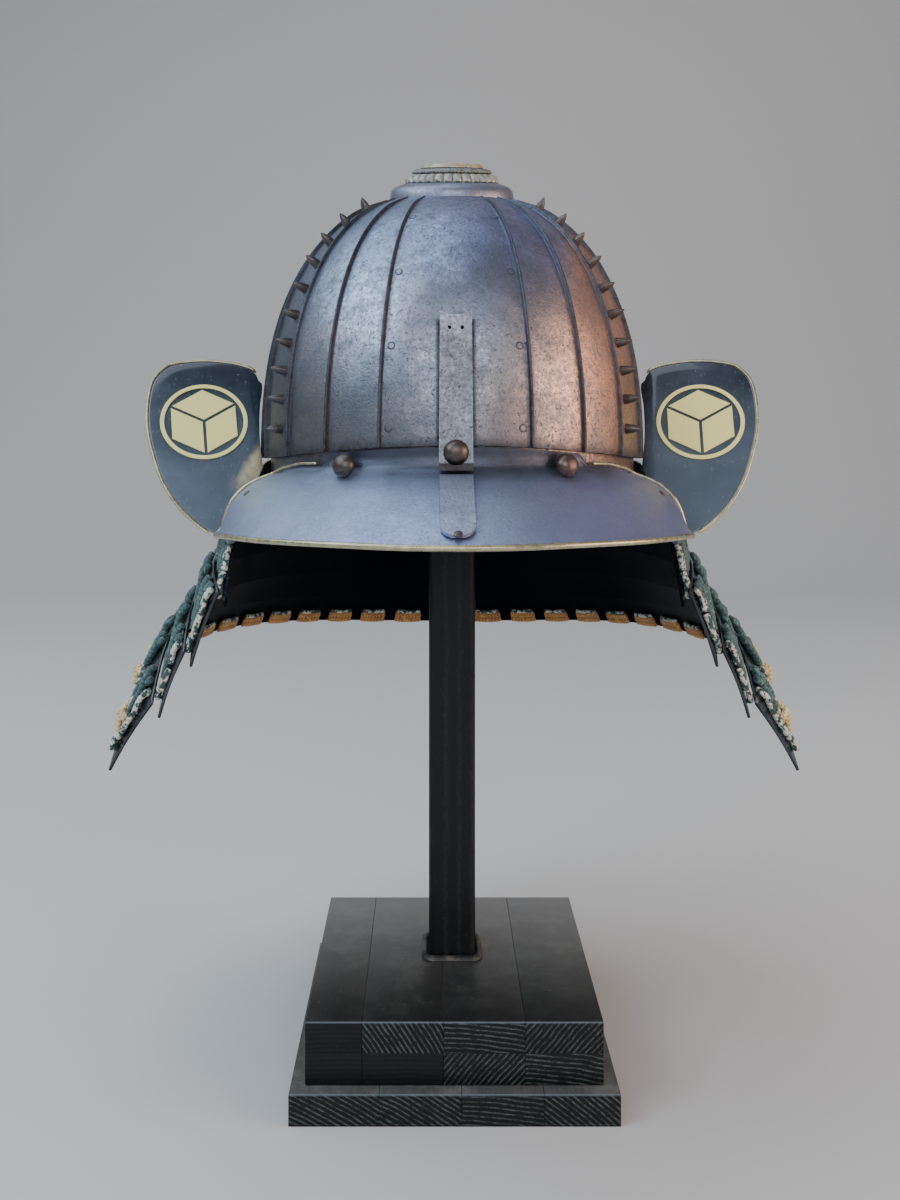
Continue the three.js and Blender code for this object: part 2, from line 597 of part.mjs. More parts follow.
// The inner edge of the wing curls back towards the side of the bowl.
function wingPoint(side, [h, v], out = 0) {
  const { centre, outward, up, normal } = wingFrame(side);
  const curl = Math.max(0, WING.curlFrom - h) ** 2 / WING.curl;
  return centre.clone().addScaledVector(outward, h).addScaledVector(up, v)
    .addScaledVector(normal, out - curl);
}

// Where the gilt rim runs, the wing's plate stops just inside it.
function wingEdge(inset) {
  const { outline, rimFrom, rimTo } = WING;
  return outline.map(([h, v], i) => {
    if (i < rimFrom - 1 || i > rimTo) {
      return [h, v];
    }
    const [[h0, v0], [h1, v1]] = [outline.at(i - 1), outline[i + 1]];
    const move = inset / Math.hypot(h1 - h0, v1 - v0);
    return [h + (v1 - v0) * move, v - (h1 - h0) * move];
  });
}

function wingSheet(side) {
  const edge = wingEdge(WING.rim + GAP);
  const count = edge.length;
  const [fanH, fanV] = WING.fanCentre;
  const rings = steps(WING.fan - 1, 1, 1 / WING.fan);
  const points = [];
  for (const out of [0, -WING.thick]) {
    for (const k of rings) {
      edge.forEach(([h, v]) => points.push(wingPoint(side, [lerp(fanH, h, k), lerp(fanV, v, k)], out)));
    }
    points.push(wingPoint(side, WING.fanCentre, out));
  }
  const layer = count * rings.length + 1;
  const index = [];
  for (let i = 0; i < count; i += 1) {
    const j = (i + 1) % count;
    for (let ring = 0; ring < rings.length - 1; ring += 1) {
      const [a, b] = [ring * count + i, ring * count + j];
      const [c, d] = [b + count, a + count];
      index.push(a, b, c, a, c, d, layer + b, layer + a, layer + d, layer + b, layer + d, layer + c);
    }
    const inner = (rings.length - 1) * count;
    index.push(inner + i, inner + j, layer - 1, layer + inner + j, layer + inner + i, 2 * layer - 1);
    index.push(j, i, layer + i, j, layer + i, layer + j);
  }
  return solidFrom(points, index);
}

function buildWingTrim(side, word) {
  const frame = wingFrame(side);
  const route = wingEdge(WING.rim / 2).slice(WING.rimFrom, WING.rimTo)
    .map((point) => wingPoint(side, point, -WING.thick / 2));
  addPiece(`wing_rim_${word}`, squareBar(route, WING.rim, frame.normal), FINISH.gilt);

  const { radius, ring, hexagon, slit, thick, sides, tilt } = CREST;
  const crest = new THREE.Group();
  crest.matrixAutoUpdate = false;
  const right = side > 0 ? frame.outward : frame.outward.clone().negate();
  crest.matrix.makeBasis(right, frame.up, frame.normal)
    .setPosition(frame.centre.clone().addScaledVector(frame.normal, GAP));
  helmet.add(crest);
  const band = new THREE.Shape().absarc(0, 0, radius, 0, 2 * Math.PI);
  band.holes.push(new THREE.Path().absarc(0, 0, radius - ring, 0, 2 * Math.PI));
  addPiece(`crest_ring_${word}`, upright(band, thick, sides / 2), FINISH.goldLacquer, crest);
  for (let i = 0; i < 3; i += 1) {
    const turn = (30 + 120 * i + tilt) * RAD;
    const middle = new THREE.Vector2();
    const corner = (angle, r) => new THREE.Vector2(r, 0).rotateAround(middle, turn + angle * RAD);
    const shift = corner(60, slit / Math.sqrt(3));
    const corners = [corner(0, 0), corner(0, hexagon), corner(60, hexagon), corner(120, hexagon)];
    const rhomb = new THREE.Shape(corners.map((p) => p.multiplyScalar(1 - slit / hexagon).add(shift)));
    addPiece(`crest_rhomb_${word}_${i + 1}`, upright(rhomb, thick), FINISH.goldLacquer, crest);
  }
}

function buildNeckGuard() {
  addPiece('lame_1', joined([lameSheet(0), wingSheet(-1), wingSheet(1)]), FINISH.blackLacquer);
  for (let i = 1; i < LOWER_EDGES.length; i += 1) {
    addPiece(`lame_${i + 1}`, lameSheet(i), FINISH.blackLacquer);
    addPiece(`lacing_${i + 1}`, lacingRow(i), FINISH.tealSilk);
  }
  addPiece('cross_knots', knotRow(), FINISH.goldSilk);
  buildWingTrim(-1, 'left');
  buildWingTrim(1, 'right');
}

buildStand();
buildBowl();
buildBand();
buildCrown();
buildVisor();
buildCrestHolder();
buildDomeRivets();
buildNeckGuard();

export default helmet;
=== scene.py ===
# Samurai helmet with a laced neck guard, resting on a square post and a stepped wooden base.
# Metres, +Z up, the helmet faces -Y. The sections follow the helmet from the floor up.
import math
import random

import bmesh
import bpy
from mathutils import Matrix, Vector


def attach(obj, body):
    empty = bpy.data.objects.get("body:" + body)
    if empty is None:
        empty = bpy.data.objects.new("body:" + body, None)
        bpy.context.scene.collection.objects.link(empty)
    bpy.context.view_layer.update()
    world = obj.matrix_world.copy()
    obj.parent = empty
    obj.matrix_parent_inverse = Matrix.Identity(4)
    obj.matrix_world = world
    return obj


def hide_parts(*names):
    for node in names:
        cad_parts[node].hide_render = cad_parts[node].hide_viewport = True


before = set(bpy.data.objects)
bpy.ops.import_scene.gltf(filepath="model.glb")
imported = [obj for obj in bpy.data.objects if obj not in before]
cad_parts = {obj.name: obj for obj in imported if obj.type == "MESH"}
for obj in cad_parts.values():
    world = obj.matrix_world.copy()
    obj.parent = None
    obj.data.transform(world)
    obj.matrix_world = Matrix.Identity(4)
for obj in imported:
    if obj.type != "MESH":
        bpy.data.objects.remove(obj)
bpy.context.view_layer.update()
MM = 0.001
random.seed(11)

# ---- Camera ----------------------------------------------------------------------------------
# Eye level is a little above the brow, two thirds of a metre in front of the post.
camera = bpy.data.objects.new("camera", bpy.data.cameras.new("camera"))
bpy.context.scene.collection.objects.link(camera)
camera.location = (-11 * MM, -660.5 * MM, 355.6 * MM)
camera.rotation_euler = (math.radians(90), 0, 0)
camera.data.lens = 35
camera.data.shift_x = 0.0146
camera.data.shift_y = -0.159
bpy.context.scene.camera = camera


# ---- Base boards -----------------------------------------------------------------------------
# Two stepped boards glued up from softwood staves, stained black. The staves run front to back,
# so their end grain shows on the front, where the harder rings stand proud of the softer wood.
class Shade:
    """A socket of a material. Its values are worked out with + - * / and **."""

    def __init__(self, material, socket=None):
        self.material = material
        self.socket = socket

    def put(self, socket, value):
        if isinstance(value, Shade):
            self.material.node_tree.links.new(value.socket, socket)
        elif socket.type == "RGBA":
            socket.default_value = (*value, 1)
        else:
            socket.default_value = value

    def node(self, kind, settings=None, sockets=None, out=0):
        """A new node of one kind: first its settings, then the values or links of its sockets."""
        made = self.material.node_tree.nodes.new("ShaderNode" + kind)
        for name, value in (settings or {}).items():
            setattr(made, name, value)
        for name, value in (sockets or {}).items():
            self.put(made.inputs[name], value)
        return Shade(self.material, made.outputs[out])

    def maths(self, operation, *values):
        return self.node("Math", {"operation": operation}, dict(enumerate(values)))

    def __add__(self, other):
        return self.maths("ADD", self, other)

    def __sub__(self, other):
        return self.maths("SUBTRACT", self, other)

    def __mul__(self, other):
        return self.maths("MULTIPLY", self, other)

    def __truediv__(self, other):
        return self.maths("DIVIDE", self, other)

    def __pow__(self, other):
        return self.maths("POWER", self, other)

    def __rsub__(self, other):
        return self.maths("SUBTRACT", other, self)

    __radd__ = __add__
    __rmul__ = __mul__

    def clear(self, low, high):
        """The value spread so that low becomes 0 and high becomes 1, held between them."""
        return self.node("MapRange", {"interpolation_type": "SMOOTHSTEP"}, {0: self, 1: low, 2: high})

    def mix(self, first, second):
        """A colour between two, with this value as the share of the second."""
        return self.node("Mix", {"data_type": "RGBA"}, {0: self, 6: first, 7: second}, out=2)

    def place(self):
        return self.node("TexCoord", out=3)

    def part(self, axis):
        """One part of a vector: 0, 1 or 2 for x, y or z."""
        return self.node("SeparateXYZ", None, {0: self}, out=axis)

    def scaled(self, *factors):
        """The place on the piece, stretched along x, y and z."""
        return self.node("VectorMath", {"operation": "MULTIPLY"}, {0: self.place(), 1: factors})

    def noise(self, scale, detail=3, rough=0.55, at=None):
        sockets = {"Vector": at or self.place(), "Scale": scale, "Detail": detail, "Roughness": rough}
        return self.node("TexNoise", None, sockets)

    def mark(self, name):
        """A value that the skin carries at its points, 0 where it has none."""
        return self.node("Attribute", {"attribute_name": name}, out=2)

    def bump(self, depth, strength=1, under=None):
        sockets = {"Height": self, "Distance": depth, "Strength": strength}
        if under:
            sockets["Normal"] = under
        return self.node("Bump", None, sockets)

    def surface(self, sockets):
        principled = self.material.node_tree.nodes["Principled BSDF"]
        for name, value in sockets.items():
            self.put(principled.inputs[name], value)
        return self.material


def new_finish(name):
    material = bpy.data.materials.new(name)
    material.use_nodes = True
    return Shade(material)


class Skin:
    """Points and faces of one mesh, gathered strip by strip, with marks for its material."""

    def __init__(self):
        self.points = []
        self.faces = []
        self.uvs = []
        self.marks = {}

    def strip(self, sections, ring=False, caps=True, **marks):
        """Closed sections joined in a row; a ring joins the last to the first, caps close the ends."""
        size = len(sections[0])
        rows = len(sections)
        base = len(self.points)
        runs = [0.0]
        for before, after in zip(sections, sections[1:]):
            runs.append(runs[-1] + (sum(after, Vector()) - sum(before, Vector())).length / size)
        runs.append(runs[-1] + (runs[-1] - runs[-2]))
        for section in sections:
            self.points.extend(section)
        for row in range(rows if ring else rows - 1):
            here, there = base + row * size, base + (row + 1) % rows * size
            run, next_run = runs[row:row + 2]
            for i in range(size):
                self.faces.append((here + i, here + (i + 1) % size, there + (i + 1) % size, there + i))
                left, right = i / size, (i + 1) / size
                self.uvs += [(left, run), (right, run), (right, next_run), (left, next_run)]
        if caps and not ring:
            for start, run in ((base, runs[0]), (base + (rows - 1) * size, runs[-2])):
                self.faces.append(tuple(range(start, start + size)))
                self.uvs += [(0, run)] * size
        self.note(rows * size, marks)

    def block(self, low, high, bevel, **marks):
        """A box between two corners with its edges rounded off."""
        shape = bmesh.new()
        placed = Matrix.Translation((low + high) / 2) @ Matrix.Diagonal((*(high - low), 1))
        bmesh.ops.create_cube(shape, size=1, matrix=placed)
        bmesh.ops.bevel(shape, geom=shape.edges[:], offset=bevel, segments=3, affect="EDGES", profile=0.5)
        base = len(self.points)
        self.points.extend(vert.co.copy() for vert in shape.verts)
        for face in shape.faces:
            self.faces.append(tuple(base + vert.index for vert in face.verts))
            self.uvs += [(0, 0)] * len(face.verts)
        self.note(len(shape.verts), marks)
        shape.free()

    def note(self, count, marks):
        """Keeps the marks of the last count points; a mark is one value, or one a point."""
        for name, value in marks.items():
            row = self.marks.setdefault(name, [0.0] * (len(self.points) - count))
            row.extend(value if isinstance(value, list) else [value] * count)
        for row in self.marks.values():
            row.extend([0.0] * (len(self.points) - len(row)))

    def piece(self, name, slot, material, replaced=(), sharp=35):
        """Makes the mesh and its object; edges bent more than sharp degrees stay sharp."""
        mesh = bpy.data.meshes.new(name)
        mesh.from_pydata(self.points, [], self.faces)
        run = mesh.uv_layers.new(name="run")
        run.data.foreach_set("uv", [value for pair in self.uvs for value in pair])
        for mark, values in self.marks.items():
            mesh.attributes.new(mark, "FLOAT", "POINT").data.foreach_set("value", values)
        shape = bmesh.new()
        shape.from_mesh(mesh)
        bmesh.ops.recalc_face_normals(shape, faces=shape.faces)
        shape.to_mesh(mesh)
        shape.free()
        mesh.shade_smooth()
        mesh.set_sharp_from_angle(angle=math.radians(sharp))
        mesh.materials.append(material)
        made = bpy.data.objects.new(name, mesh)
        bpy.context.scene.collection.objects.link(made)
        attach(made, "root")
        if replaced:
            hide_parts(*replaced)


def steps(count, start, end):
    """The values from start to end in count even steps."""
    return [start + (end - start) * i / count for i in range(count + 1)]


def stained_wood(name, upright, ring_gap, sheen, dust_and_sheen=(0.01, 0.01), front=None, top=None):
    """Black-stained softwood; its upper face is paler at the front and at the back by two given values,
    partly dust and partly painted sheen.

    Its year rings lie round the pith that each stave is marked with. Where front and top say
    where the upper front edge runs, that edge is paler, partly worn and partly a painted highlight."""
    wood = new_finish(name)
    across, depth, height = [wood.place().part(axis) for axis in range(3)]
    level = wood.node("NewGeometry", out=1).part(2).clear(0.6, 0.9)
    first = across - wood.mark("pith_x")
    second = (depth if upright else height) - wood.mark("pith_z")
    radius = (first * first + second * second) ** 0.5 + wood.noise(60, 4, 0.6) * (2.4 * MM)
    rings = (radius * (2 * math.pi / ring_gap)).maths("SINE", radius * (2 * math.pi / ring_gap))
    broken = wood.noise(300, 4, 0.75).clear(0.36, 0.6)
    late = (rings + wood.noise(120, 3, 0.6) - 0.5).clear(0.1, 0.95) * (1 - level) * (0.15 + broken * 0.85)
    late = late * (1 - wood.mark("plain"))
    along = (700, 700, 30) if upright else (700, 30, 700)
    fibre = wood.noise(1, 4, 0.6, wood.scaled(*along))
    dust = wood.noise(60, 5, 0.7).clear(0.42, 0.78)
    dark = (late * (0.4 + fibre)).mix((0.0018, 0.0026, 0.0034), (0.085, 0.1, 0.1))
    # The upper face turns paler towards front or back: dust, and on the block's back a painted sheen.
    upper_face_dust_and_sheen = level * (0.45 + dust * 0.7 + fibre * 0.3)
    near, far = [(pale, 1.03 * pale, 0.97 * pale) for pale in dust_and_sheen]
    tint = upper_face_dust_and_sheen.mix(dark, depth.clear(-75 * MM, 60 * MM).mix(near, far))
    speck = wood.noise(480, 2, 0.6).clear(0.69, 0.75) * (0.1 + level * 0.5)
    tint = speck.mix(tint, (0.2, 0.2, 0.18))
    # The pale blue-grey line along the upper front edge is partly wear, partly a painted highlight.
    if front is not None:
        near_front = 1 - (depth - front).clear(0.1 * MM, 1.1 * MM)
        edge = near_front * (1 - (top - height).clear(0.1 * MM, 1.1 * MM))
        tint = (edge * (0.5 + wood.noise(150, 3, 0.7) * 0.5)).mix(tint, (0.14, 0.17, 0.21))
    relief = (late * 0.7 + fibre * 0.35).bump(0.25 * MM, 0.7 if upright else 0.5)
    return wood.surface({
        "Base Color": tint, "Roughness": sheen + fibre * 0.16 + dust * 0.12 - level * 0.08, "Normal": relief,
        "Coat Weight": level * (0.15 + depth.clear(-70 * MM, 75 * MM) * 0.85), "Coat Roughness": 0.26,
        "Specular IOR Level": 0.3,
    })


pith_away = 240
stave_gap = 0.02
stave_edge = 0.3 * MM


def boards(name, low, high, width, dust_and_sheen, joints, rows):
    """Rows of staves between the joints, with the slope of each one's grain, or None where plain."""
    wood = stained_wood(name + "_wood", upright=False, ring_gap=2.4 * MM, sheen=0.36, dust_and_sheen=dust_and_sheen,
                        front=-width / 2 * MM, top=high * MM)
    skin = Skin()
    cuts = [0, *joints, width]
    height = (high - low) / len(rows)
    for level, slopes in enumerate(rows):
        for start, end, slope in zip(cuts, cuts[1:], slopes):
            left, right = start - width / 2 + stave_gap, end - width / 2 - stave_gap
            foot = low + level * height
            grain = math.radians(slope or 0)
            skin.block(
                Vector((left, -width / 2, foot + stave_gap)) * MM,
                Vector((right, width / 2, foot + height - stave_gap)) * MM,
                stave_edge,
                pith_x=((left + right) / 2 - pith_away * math.sin(grain)) * MM,
                pith_z=(foot - pith_away * math.cos(grain)) * MM,
                plain=0.93 if slope is None else random.uniform(0, 0.25),
            )
    skin.piece(name + "_staves", "black_wood", wood, [name], sharp=50)


# The plate's top is dusty at the front; the block's top is paler at the back, a painted sheen.
boards("base_plate", low=0, high=16, width=165, dust_and_sheen=(0.13, 0.05), joints=(45, 86, 127),
       rows=[(30, 32, 6, 40)])
boards("base_block", low=16.3, high=48, width=150, dust_and_sheen=(0.026, 0.13), joints=(28.6, 69.6, 110.6),
       rows=[(None, None, -50, 7), (None, 58, 6, -50)])


# ---- Post ------------------------------------------------------------------------------------
# A square post of the same black-stained wood with eased corners. It stands in a bead of dried
# glue on the block and carries a round head, hidden inside the bowl.
axis_y = 6 * MM
post_half, post_corner, post_foot = 13 * MM, 3 * MM, 48.3 * MM
head_top, head_deep = 466.4 * MM, 14.3 * MM


def heading(degrees):
    """A level way at an angle from x."""
    return Vector((math.cos(math.radians(degrees)), math.sin(math.radians(degrees)), 0))


def rounded_square(half, corner, z, arc=6):
    """The outline of the post at a height, with arc steps round each corner."""
    points = []
    for turn in range(4):
        middle = heading(90 * turn + 45) * (half - corner) * math.sqrt(2)
        for angle in steps(arc, 90 * turn, 90 * turn + 90):
            points.append(middle + heading(angle) * corner + Vector((0, axis_y, z)))
    return points


post = Skin()
post.strip(
    [rounded_square(post_half, post_corner, z) for z in steps(60, post_foot, head_top - head_deep)],
    pith_x=-40 * MM, pith_z=-60 * MM, plain=0.9,
)
post_wood = stained_wood("stained_post", upright=True, ring_gap=4.6 * MM, sheen=0.34)
post.piece("post_stick", "black_wood", post_wood, ["post"])


def lathed(skin, profile, sides, foot, out=(0, 0, 1), **marks):
    """Turns a profile in millimetres, of radius and height, about an axis from foot along out."""
    turn = Vector((0, 0, 1)).rotation_difference(Vector(out)).to_matrix()
    sections = []
    for radius, height in profile:
        section = []
        for angle in steps(sides, 0, 360)[:-1]:
            around = heading(angle) * max(radius, 0.02)
            section.append(turn @ (around + Vector((0, 0, height))) * MM + Vector(foot))
        sections.append(section)
    skin.strip(sections, **marks)


head = Skin()
head_shape = [(12.5, -14), (13.5, -13.6), (29.6, -7.2), (30, -6.4), (30, -0.8), (29.2, 0)]
lathed(head, head_shape, 64, (0, axis_y, head_top), pith_x=4 * MM, pith_z=20 * MM)
head.piece("post_round_head", "black_wood", post_wood, ["post_head"])

glue = Skin()
glue_shape = [(13.35, 0), (13.5, 1.5), (14.1, 2.2), (15.2, 2.3), (16.3, 1.5), (17, 0.1)]
glue_rings = []
for half, z in glue_shape:
    corner = 3 + (half - 13.3) * 0.8
    glue_rings.append(rounded_square(half * MM, corner * MM, post_foot + z * MM, 8))
for ring in glue_rings[1:]:
    for point in ring:
        wobble = 0.16 * math.sin(point.x * 900 + point.y * 500)
        wobble += 0.1 * math.sin(point.x * 2300 - point.y * 1700)
        point.z = max(post_foot, point.z + wobble * MM)
glue.strip(glue_rings, caps=False)
dry_glue = new_finish("dry_glue")
grime = dry_glue.noise(110, 4).clear(0.36, 0.6)
glue.piece("post_glue_bead", "pale_glue", dry_glue.surface({
    "Base Color": grime.mix((0.11, 0.1, 0.088), (0.014, 0.015, 0.016)), "Roughness": 0.5,
    "Normal": dry_glue.noise(420, 3).bump(0.3 * MM, 0.7),
}), ["foot_bead"], sharp=60)


# ---- Bowl plates -----------------------------------------------------------------------------
# Eighteen forged iron plates riveted edge over edge, each with one edge turned up as a low rib. The
# old iron is blue-grey on the left, russet on the right, brown at its foot and dark at the seams. Its
# blue, violet and orange tones are partly painted reflection, and painted shade darkens the side
# plates and the plate under the crest holder.
bowl_half_width, bowl_half_length, bowl_height = 105.8 * MM, 120 * MM, 151 * MM
bowl_power, bowl_foot, brow_rise, bowl_lean = 2.4, 328 * MM, 10.5 * MM, math.radians(5.5)
plate_thick = 2.2 * MM
crown_rise = math.acos((38.5 * MM / bowl_half_width) ** (bowl_power / 2))
first_seam, seam_pitch, crown_spread = math.radians(20.5), math.radians(16.4), math.radians(3.5)


def brow_z(azimuth):
    """The height of the bowl's lower edge, which rises over the brow."""
    return bowl_foot + brow_rise * max(0, math.cos(azimuth)) ** 2


def rise_at(z):
    """The rise of a height: 0 at the bowl's foot, a quarter turn at its very top."""
    return math.asin(min(1, max(0, z - bowl_foot) / bowl_height) ** (bowl_power / 2))


def bowl_point(azimuth, rise, out=0.0):
    """A point of the bowl; azimuth 0 is the front, and out is from its face."""
    wide = math.cos(rise) ** (2 / bowl_power)
    high = math.sin(rise) ** (2 / bowl_power)
    half_length = bowl_half_length - (bowl_half_length - bowl_half_width) * high ** 4
    x = (bowl_half_width + out) * wide * math.sin(azimuth)
    y = -(half_length + out) * wide * math.cos(azimuth)
    lean = math.tan(bowl_lean) * y * high ** 6
    return Vector((x, y + axis_y, bowl_foot + (bowl_height + out) * high + lean))


def spread(azimuth, level):
    """The seams fan out a little towards the crown at the front."""
    turn = math.copysign(min(1, abs(azimuth) / first_seam), azimuth)
    return azimuth + turn * crown_spread * max(0, math.cos(azimuth)) * level ** 3


def smooth_between(value, low, high):
    """0 below low, 1 above high and a soft rise between them."""
    share = min(1, max(0, (value - low) / (high - low)))
    return share * share * (3 - 2 * share)


rib_shape = [(0, 0), (0.02, 1.5), (0.2, 2.0), (0.5, 2.2), (0.95, 2.2), (1.25, 2.0), (1.45, 1.5), (1.55, 0.6),
             (1.75, 0.1), (2.2, 0)]
plain_shape = [(0, -0.35), (0.2, -0.08), (0.5, 0)]
plate_gap, ragged_deep = 0.15, 0.3 * MM
rust_reach = (1.5 * MM, 2.1 * MM)


def plate_edge(seam, way, ribbed):
    """An edge's outline from a seam into the plate: a turned-up rib, or plain."""
    shape = rib_shape if ribbed else plain_shape
    return [(seam + way * (plate_gap + along) * MM / bowl_half_width, out * MM) for along, out in shape]


def bowl_plate(skin, start, end, ribbed_start, ribbed_end, arcs, side):
    """A plate between two seams, from its slightly ragged lower edge up to the crown."""
    near, far = plate_edge(start, 1, ribbed_start), plate_edge(end, -1, ribbed_end)
    start, end = near[0][0], far[0][0]
    face = [(azimuth, 0.0) for azimuth in steps(arcs, near[-1][0], far[-1][0])[1:-1]]
    inner = [(azimuth, -plate_thick) for azimuth in steps(arcs, end, start)]
    outline = near + face + far[::-1] + inner
    sections, rust = [], []
    for level in steps(46, 0, 1):
        section = []
        for azimuth, out in outline:
            ragged = ragged_deep * math.sin(azimuth * 71) * math.sin(azimuth * 173 + 1) if level == 0 else 0
            low = rise_at(brow_z(azimuth) + abs(ragged))
            raised = out * (1 - 0.7 * smooth_between(level, 0.84, 1)) if out > 0 else out
            section.append(bowl_point(spread(azimuth, level), low + (crown_rise - low) * level, raised))
            from_rib = min([azimuth - start] * ribbed_start + [end - azimuth] * ribbed_end, default=1)
            rusty = 1 - smooth_between(from_rib * bowl_half_width, *rust_reach)
            rust.append(1.0 if level == 0 else rusty)
        sections.append(section)
    skin.strip(sections, rust=rust, side=side)


def forged_iron(name, cool, russet, gloss, wear=0.35, ageing_and_shade=None):
    """Forged iron, cool on the left and russet to the right, partly its own patina and partly painted
    reflection of the blue light on the left and the warm light on the right; wear is how mottled and pitted
    it is.
    """
    iron = new_finish(name)
    cloud = iron.noise(14, 3, 0.5).clear(0.34, 0.68)
    mottle = iron.noise(110, 5, 0.72).clear(0.36, 0.66)
    grain = iron.noise(430, 4, 0.75).clear(0.36, 0.66)
    pit = iron.noise(900, 2, 0.6).clear(0.58, 0.7)
    across, depth, height = [iron.place().part(axis) for axis in range(3)]
    # Cool to russet from left to right: partly patina, partly painted reflection of the lamps' colours.
    ground = (cloud * 0.25 + across.clear(5 * MM, 85 * MM) * 0.7).mix(cool, russet)
    if ageing_and_shade:
        ground = ageing_and_shade(iron, ground, across, depth, height)
    shadowed = tuple(0.26 * part for part in cool)
    ground = (iron.noise(40, 3, 0.6).clear(0.42, 0.7) * (0.45 * wear)).mix(ground, shadowed)
    ground = (mottle * (0.38 * wear) + grain * (0.42 * wear)).mix(ground, shadowed)
    ground = (pit * (0.7 * wear)).mix(ground, (0.04, 0.036, 0.036))
    fine = (grain * 0.5 - pit * 0.6).bump(0.15 * MM, 0.3 + 0.5 * wear)
    return iron.surface({
        "Base Color": ground, "Metallic": 0.85,
        "Roughness": gloss + mottle * 0.1 + grain * (0.12 * wear) + pit * 0.12 + iron.mark("side") * 0.25
                     + iron.mark("rust") * 0.12,
        "Normal": iron.noise(34, 2, 0.5).bump(0.5 * MM, 0.14, fine),
    })


def bowl_patina_and_shade(iron, ground, across, depth, height):
    """Blue to violet near the crown and orange to the right, partly patina and partly painted reflection;
    brown at the foot and the seams; painted shade on the side plates and a painted shadow under and beside
    the crest holder.
    """
    # Blue-violet near the crown and orange towards the right: partly patina, partly painted reflection of the
    # sky and of the warm light on the right.
    crown_tone = across.clear(-50 * MM, 25 * MM).mix((0.3, 0.41, 0.62), (0.22, 0.23, 0.52))
    crown_share = height.clear(385 * MM, 450 * MM) * (1 - across.clear(45 * MM, 85 * MM))
    ground = (crown_share * 0.75).mix(ground, crown_tone)
    ground = (across.clear(54 * MM, 66 * MM) * 0.6).mix(ground, (0.84, 0.38, 0.22))
    low = (1 - height.clear(332 * MM, 415 * MM)) * (0.6 + iron.noise(40, 4, 0.6) * 0.6)
    low = low * (1 - across.clear(-80 * MM, 10 * MM) * 0.38)
    ground = low.mix(ground, across.clear(-20 * MM, 30 * MM).mix((0.13, 0.115, 0.108), (0.22, 0.165, 0.115)))
    # Painted shade: plates further round the sides are darkened by their side mark, the left ones most.
    ground = (iron.mark("side") * 0.8).mix(ground, (0.05, 0.045, 0.045))
    near = iron.mark("rust") * (0.6 + iron.noise(260, 4, 0.7) * 0.6)
    ground = near.mix(ground, (0.02, 0.013, 0.01))
    # Painted shadow: near black on the plate under the crest holder, so its holes look dark, fading to a thin
    # dark outline beside its edges.
    holder_shadow = across.maths("ABSOLUTE", across).clear(8.2 * MM, 10.6 * MM)
    holder_shadow = (1 - holder_shadow) * (1 - height.clear(397.5 * MM, 400 * MM)) * (1 - depth.clear(-70 * MM, -50 * MM))
    return holder_shadow.mix(ground, (0.008, 0.008, 0.009))


bowl_iron = forged_iron("russet_bowl_iron", (0.39, 0.46, 0.58), (0.82, 0.48, 0.33), gloss=0.25, wear=1,
                        ageing_and_shade=bowl_patina_and_shade)
seams = [first_seam + i * seam_pitch for i in range(9)]
plates = {
    "front": (-seams[0], seams[0], True, True, 36),
    "rear": (seams[8], 2 * math.pi - seams[8], False, False, 36),
}
for i in range(8):
    plates[f"right_{i + 1}"] = (seams[i], seams[i + 1], False, True, 16)
    plates[f"left_{i + 1}"] = (-seams[i + 1], -seams[i], True, False, 16)
shaded_sides = {f"left_{i}": 0.8 for i in range(3, 9)} | {f"right_{i}": 0.35 for i in range(3, 9)}
for word, (start, end, ribbed_start, ribbed_end, arcs) in plates.items():
    plate = Skin()
    bowl_plate(plate, start, end, ribbed_start, ribbed_end, arcs, shaded_sides.get(word, 0.0))
    plate.piece("forged_plate_" + word, "russet_iron", bowl_iron, ["bowl_plate_" + word], sharp=45)


# ---- Rivets of the bowl ----------------------------------------------------------------------
# A row of tall bullet-shaped rivets runs up the middle of one plate on each side. Small flush
# rivets, hammered almost level, hold the front plate beside its seams.
bowl_heart = Vector((0, axis_y, 360 * MM))
nudge = 0.01


def bowl_out(azimuth, rise):
    """The way straight out of the bowl's face, away from its heart."""
    side = bowl_point(azimuth + nudge, rise) - bowl_point(azimuth - nudge, rise)
    up = bowl_point(azimuth, rise + nudge) - bowl_point(azimuth, rise - nudge)
    out = side.cross(up).normalized()
    return out if out.dot(bowl_point(azimuth, rise) - bowl_heart) > 0 else -out


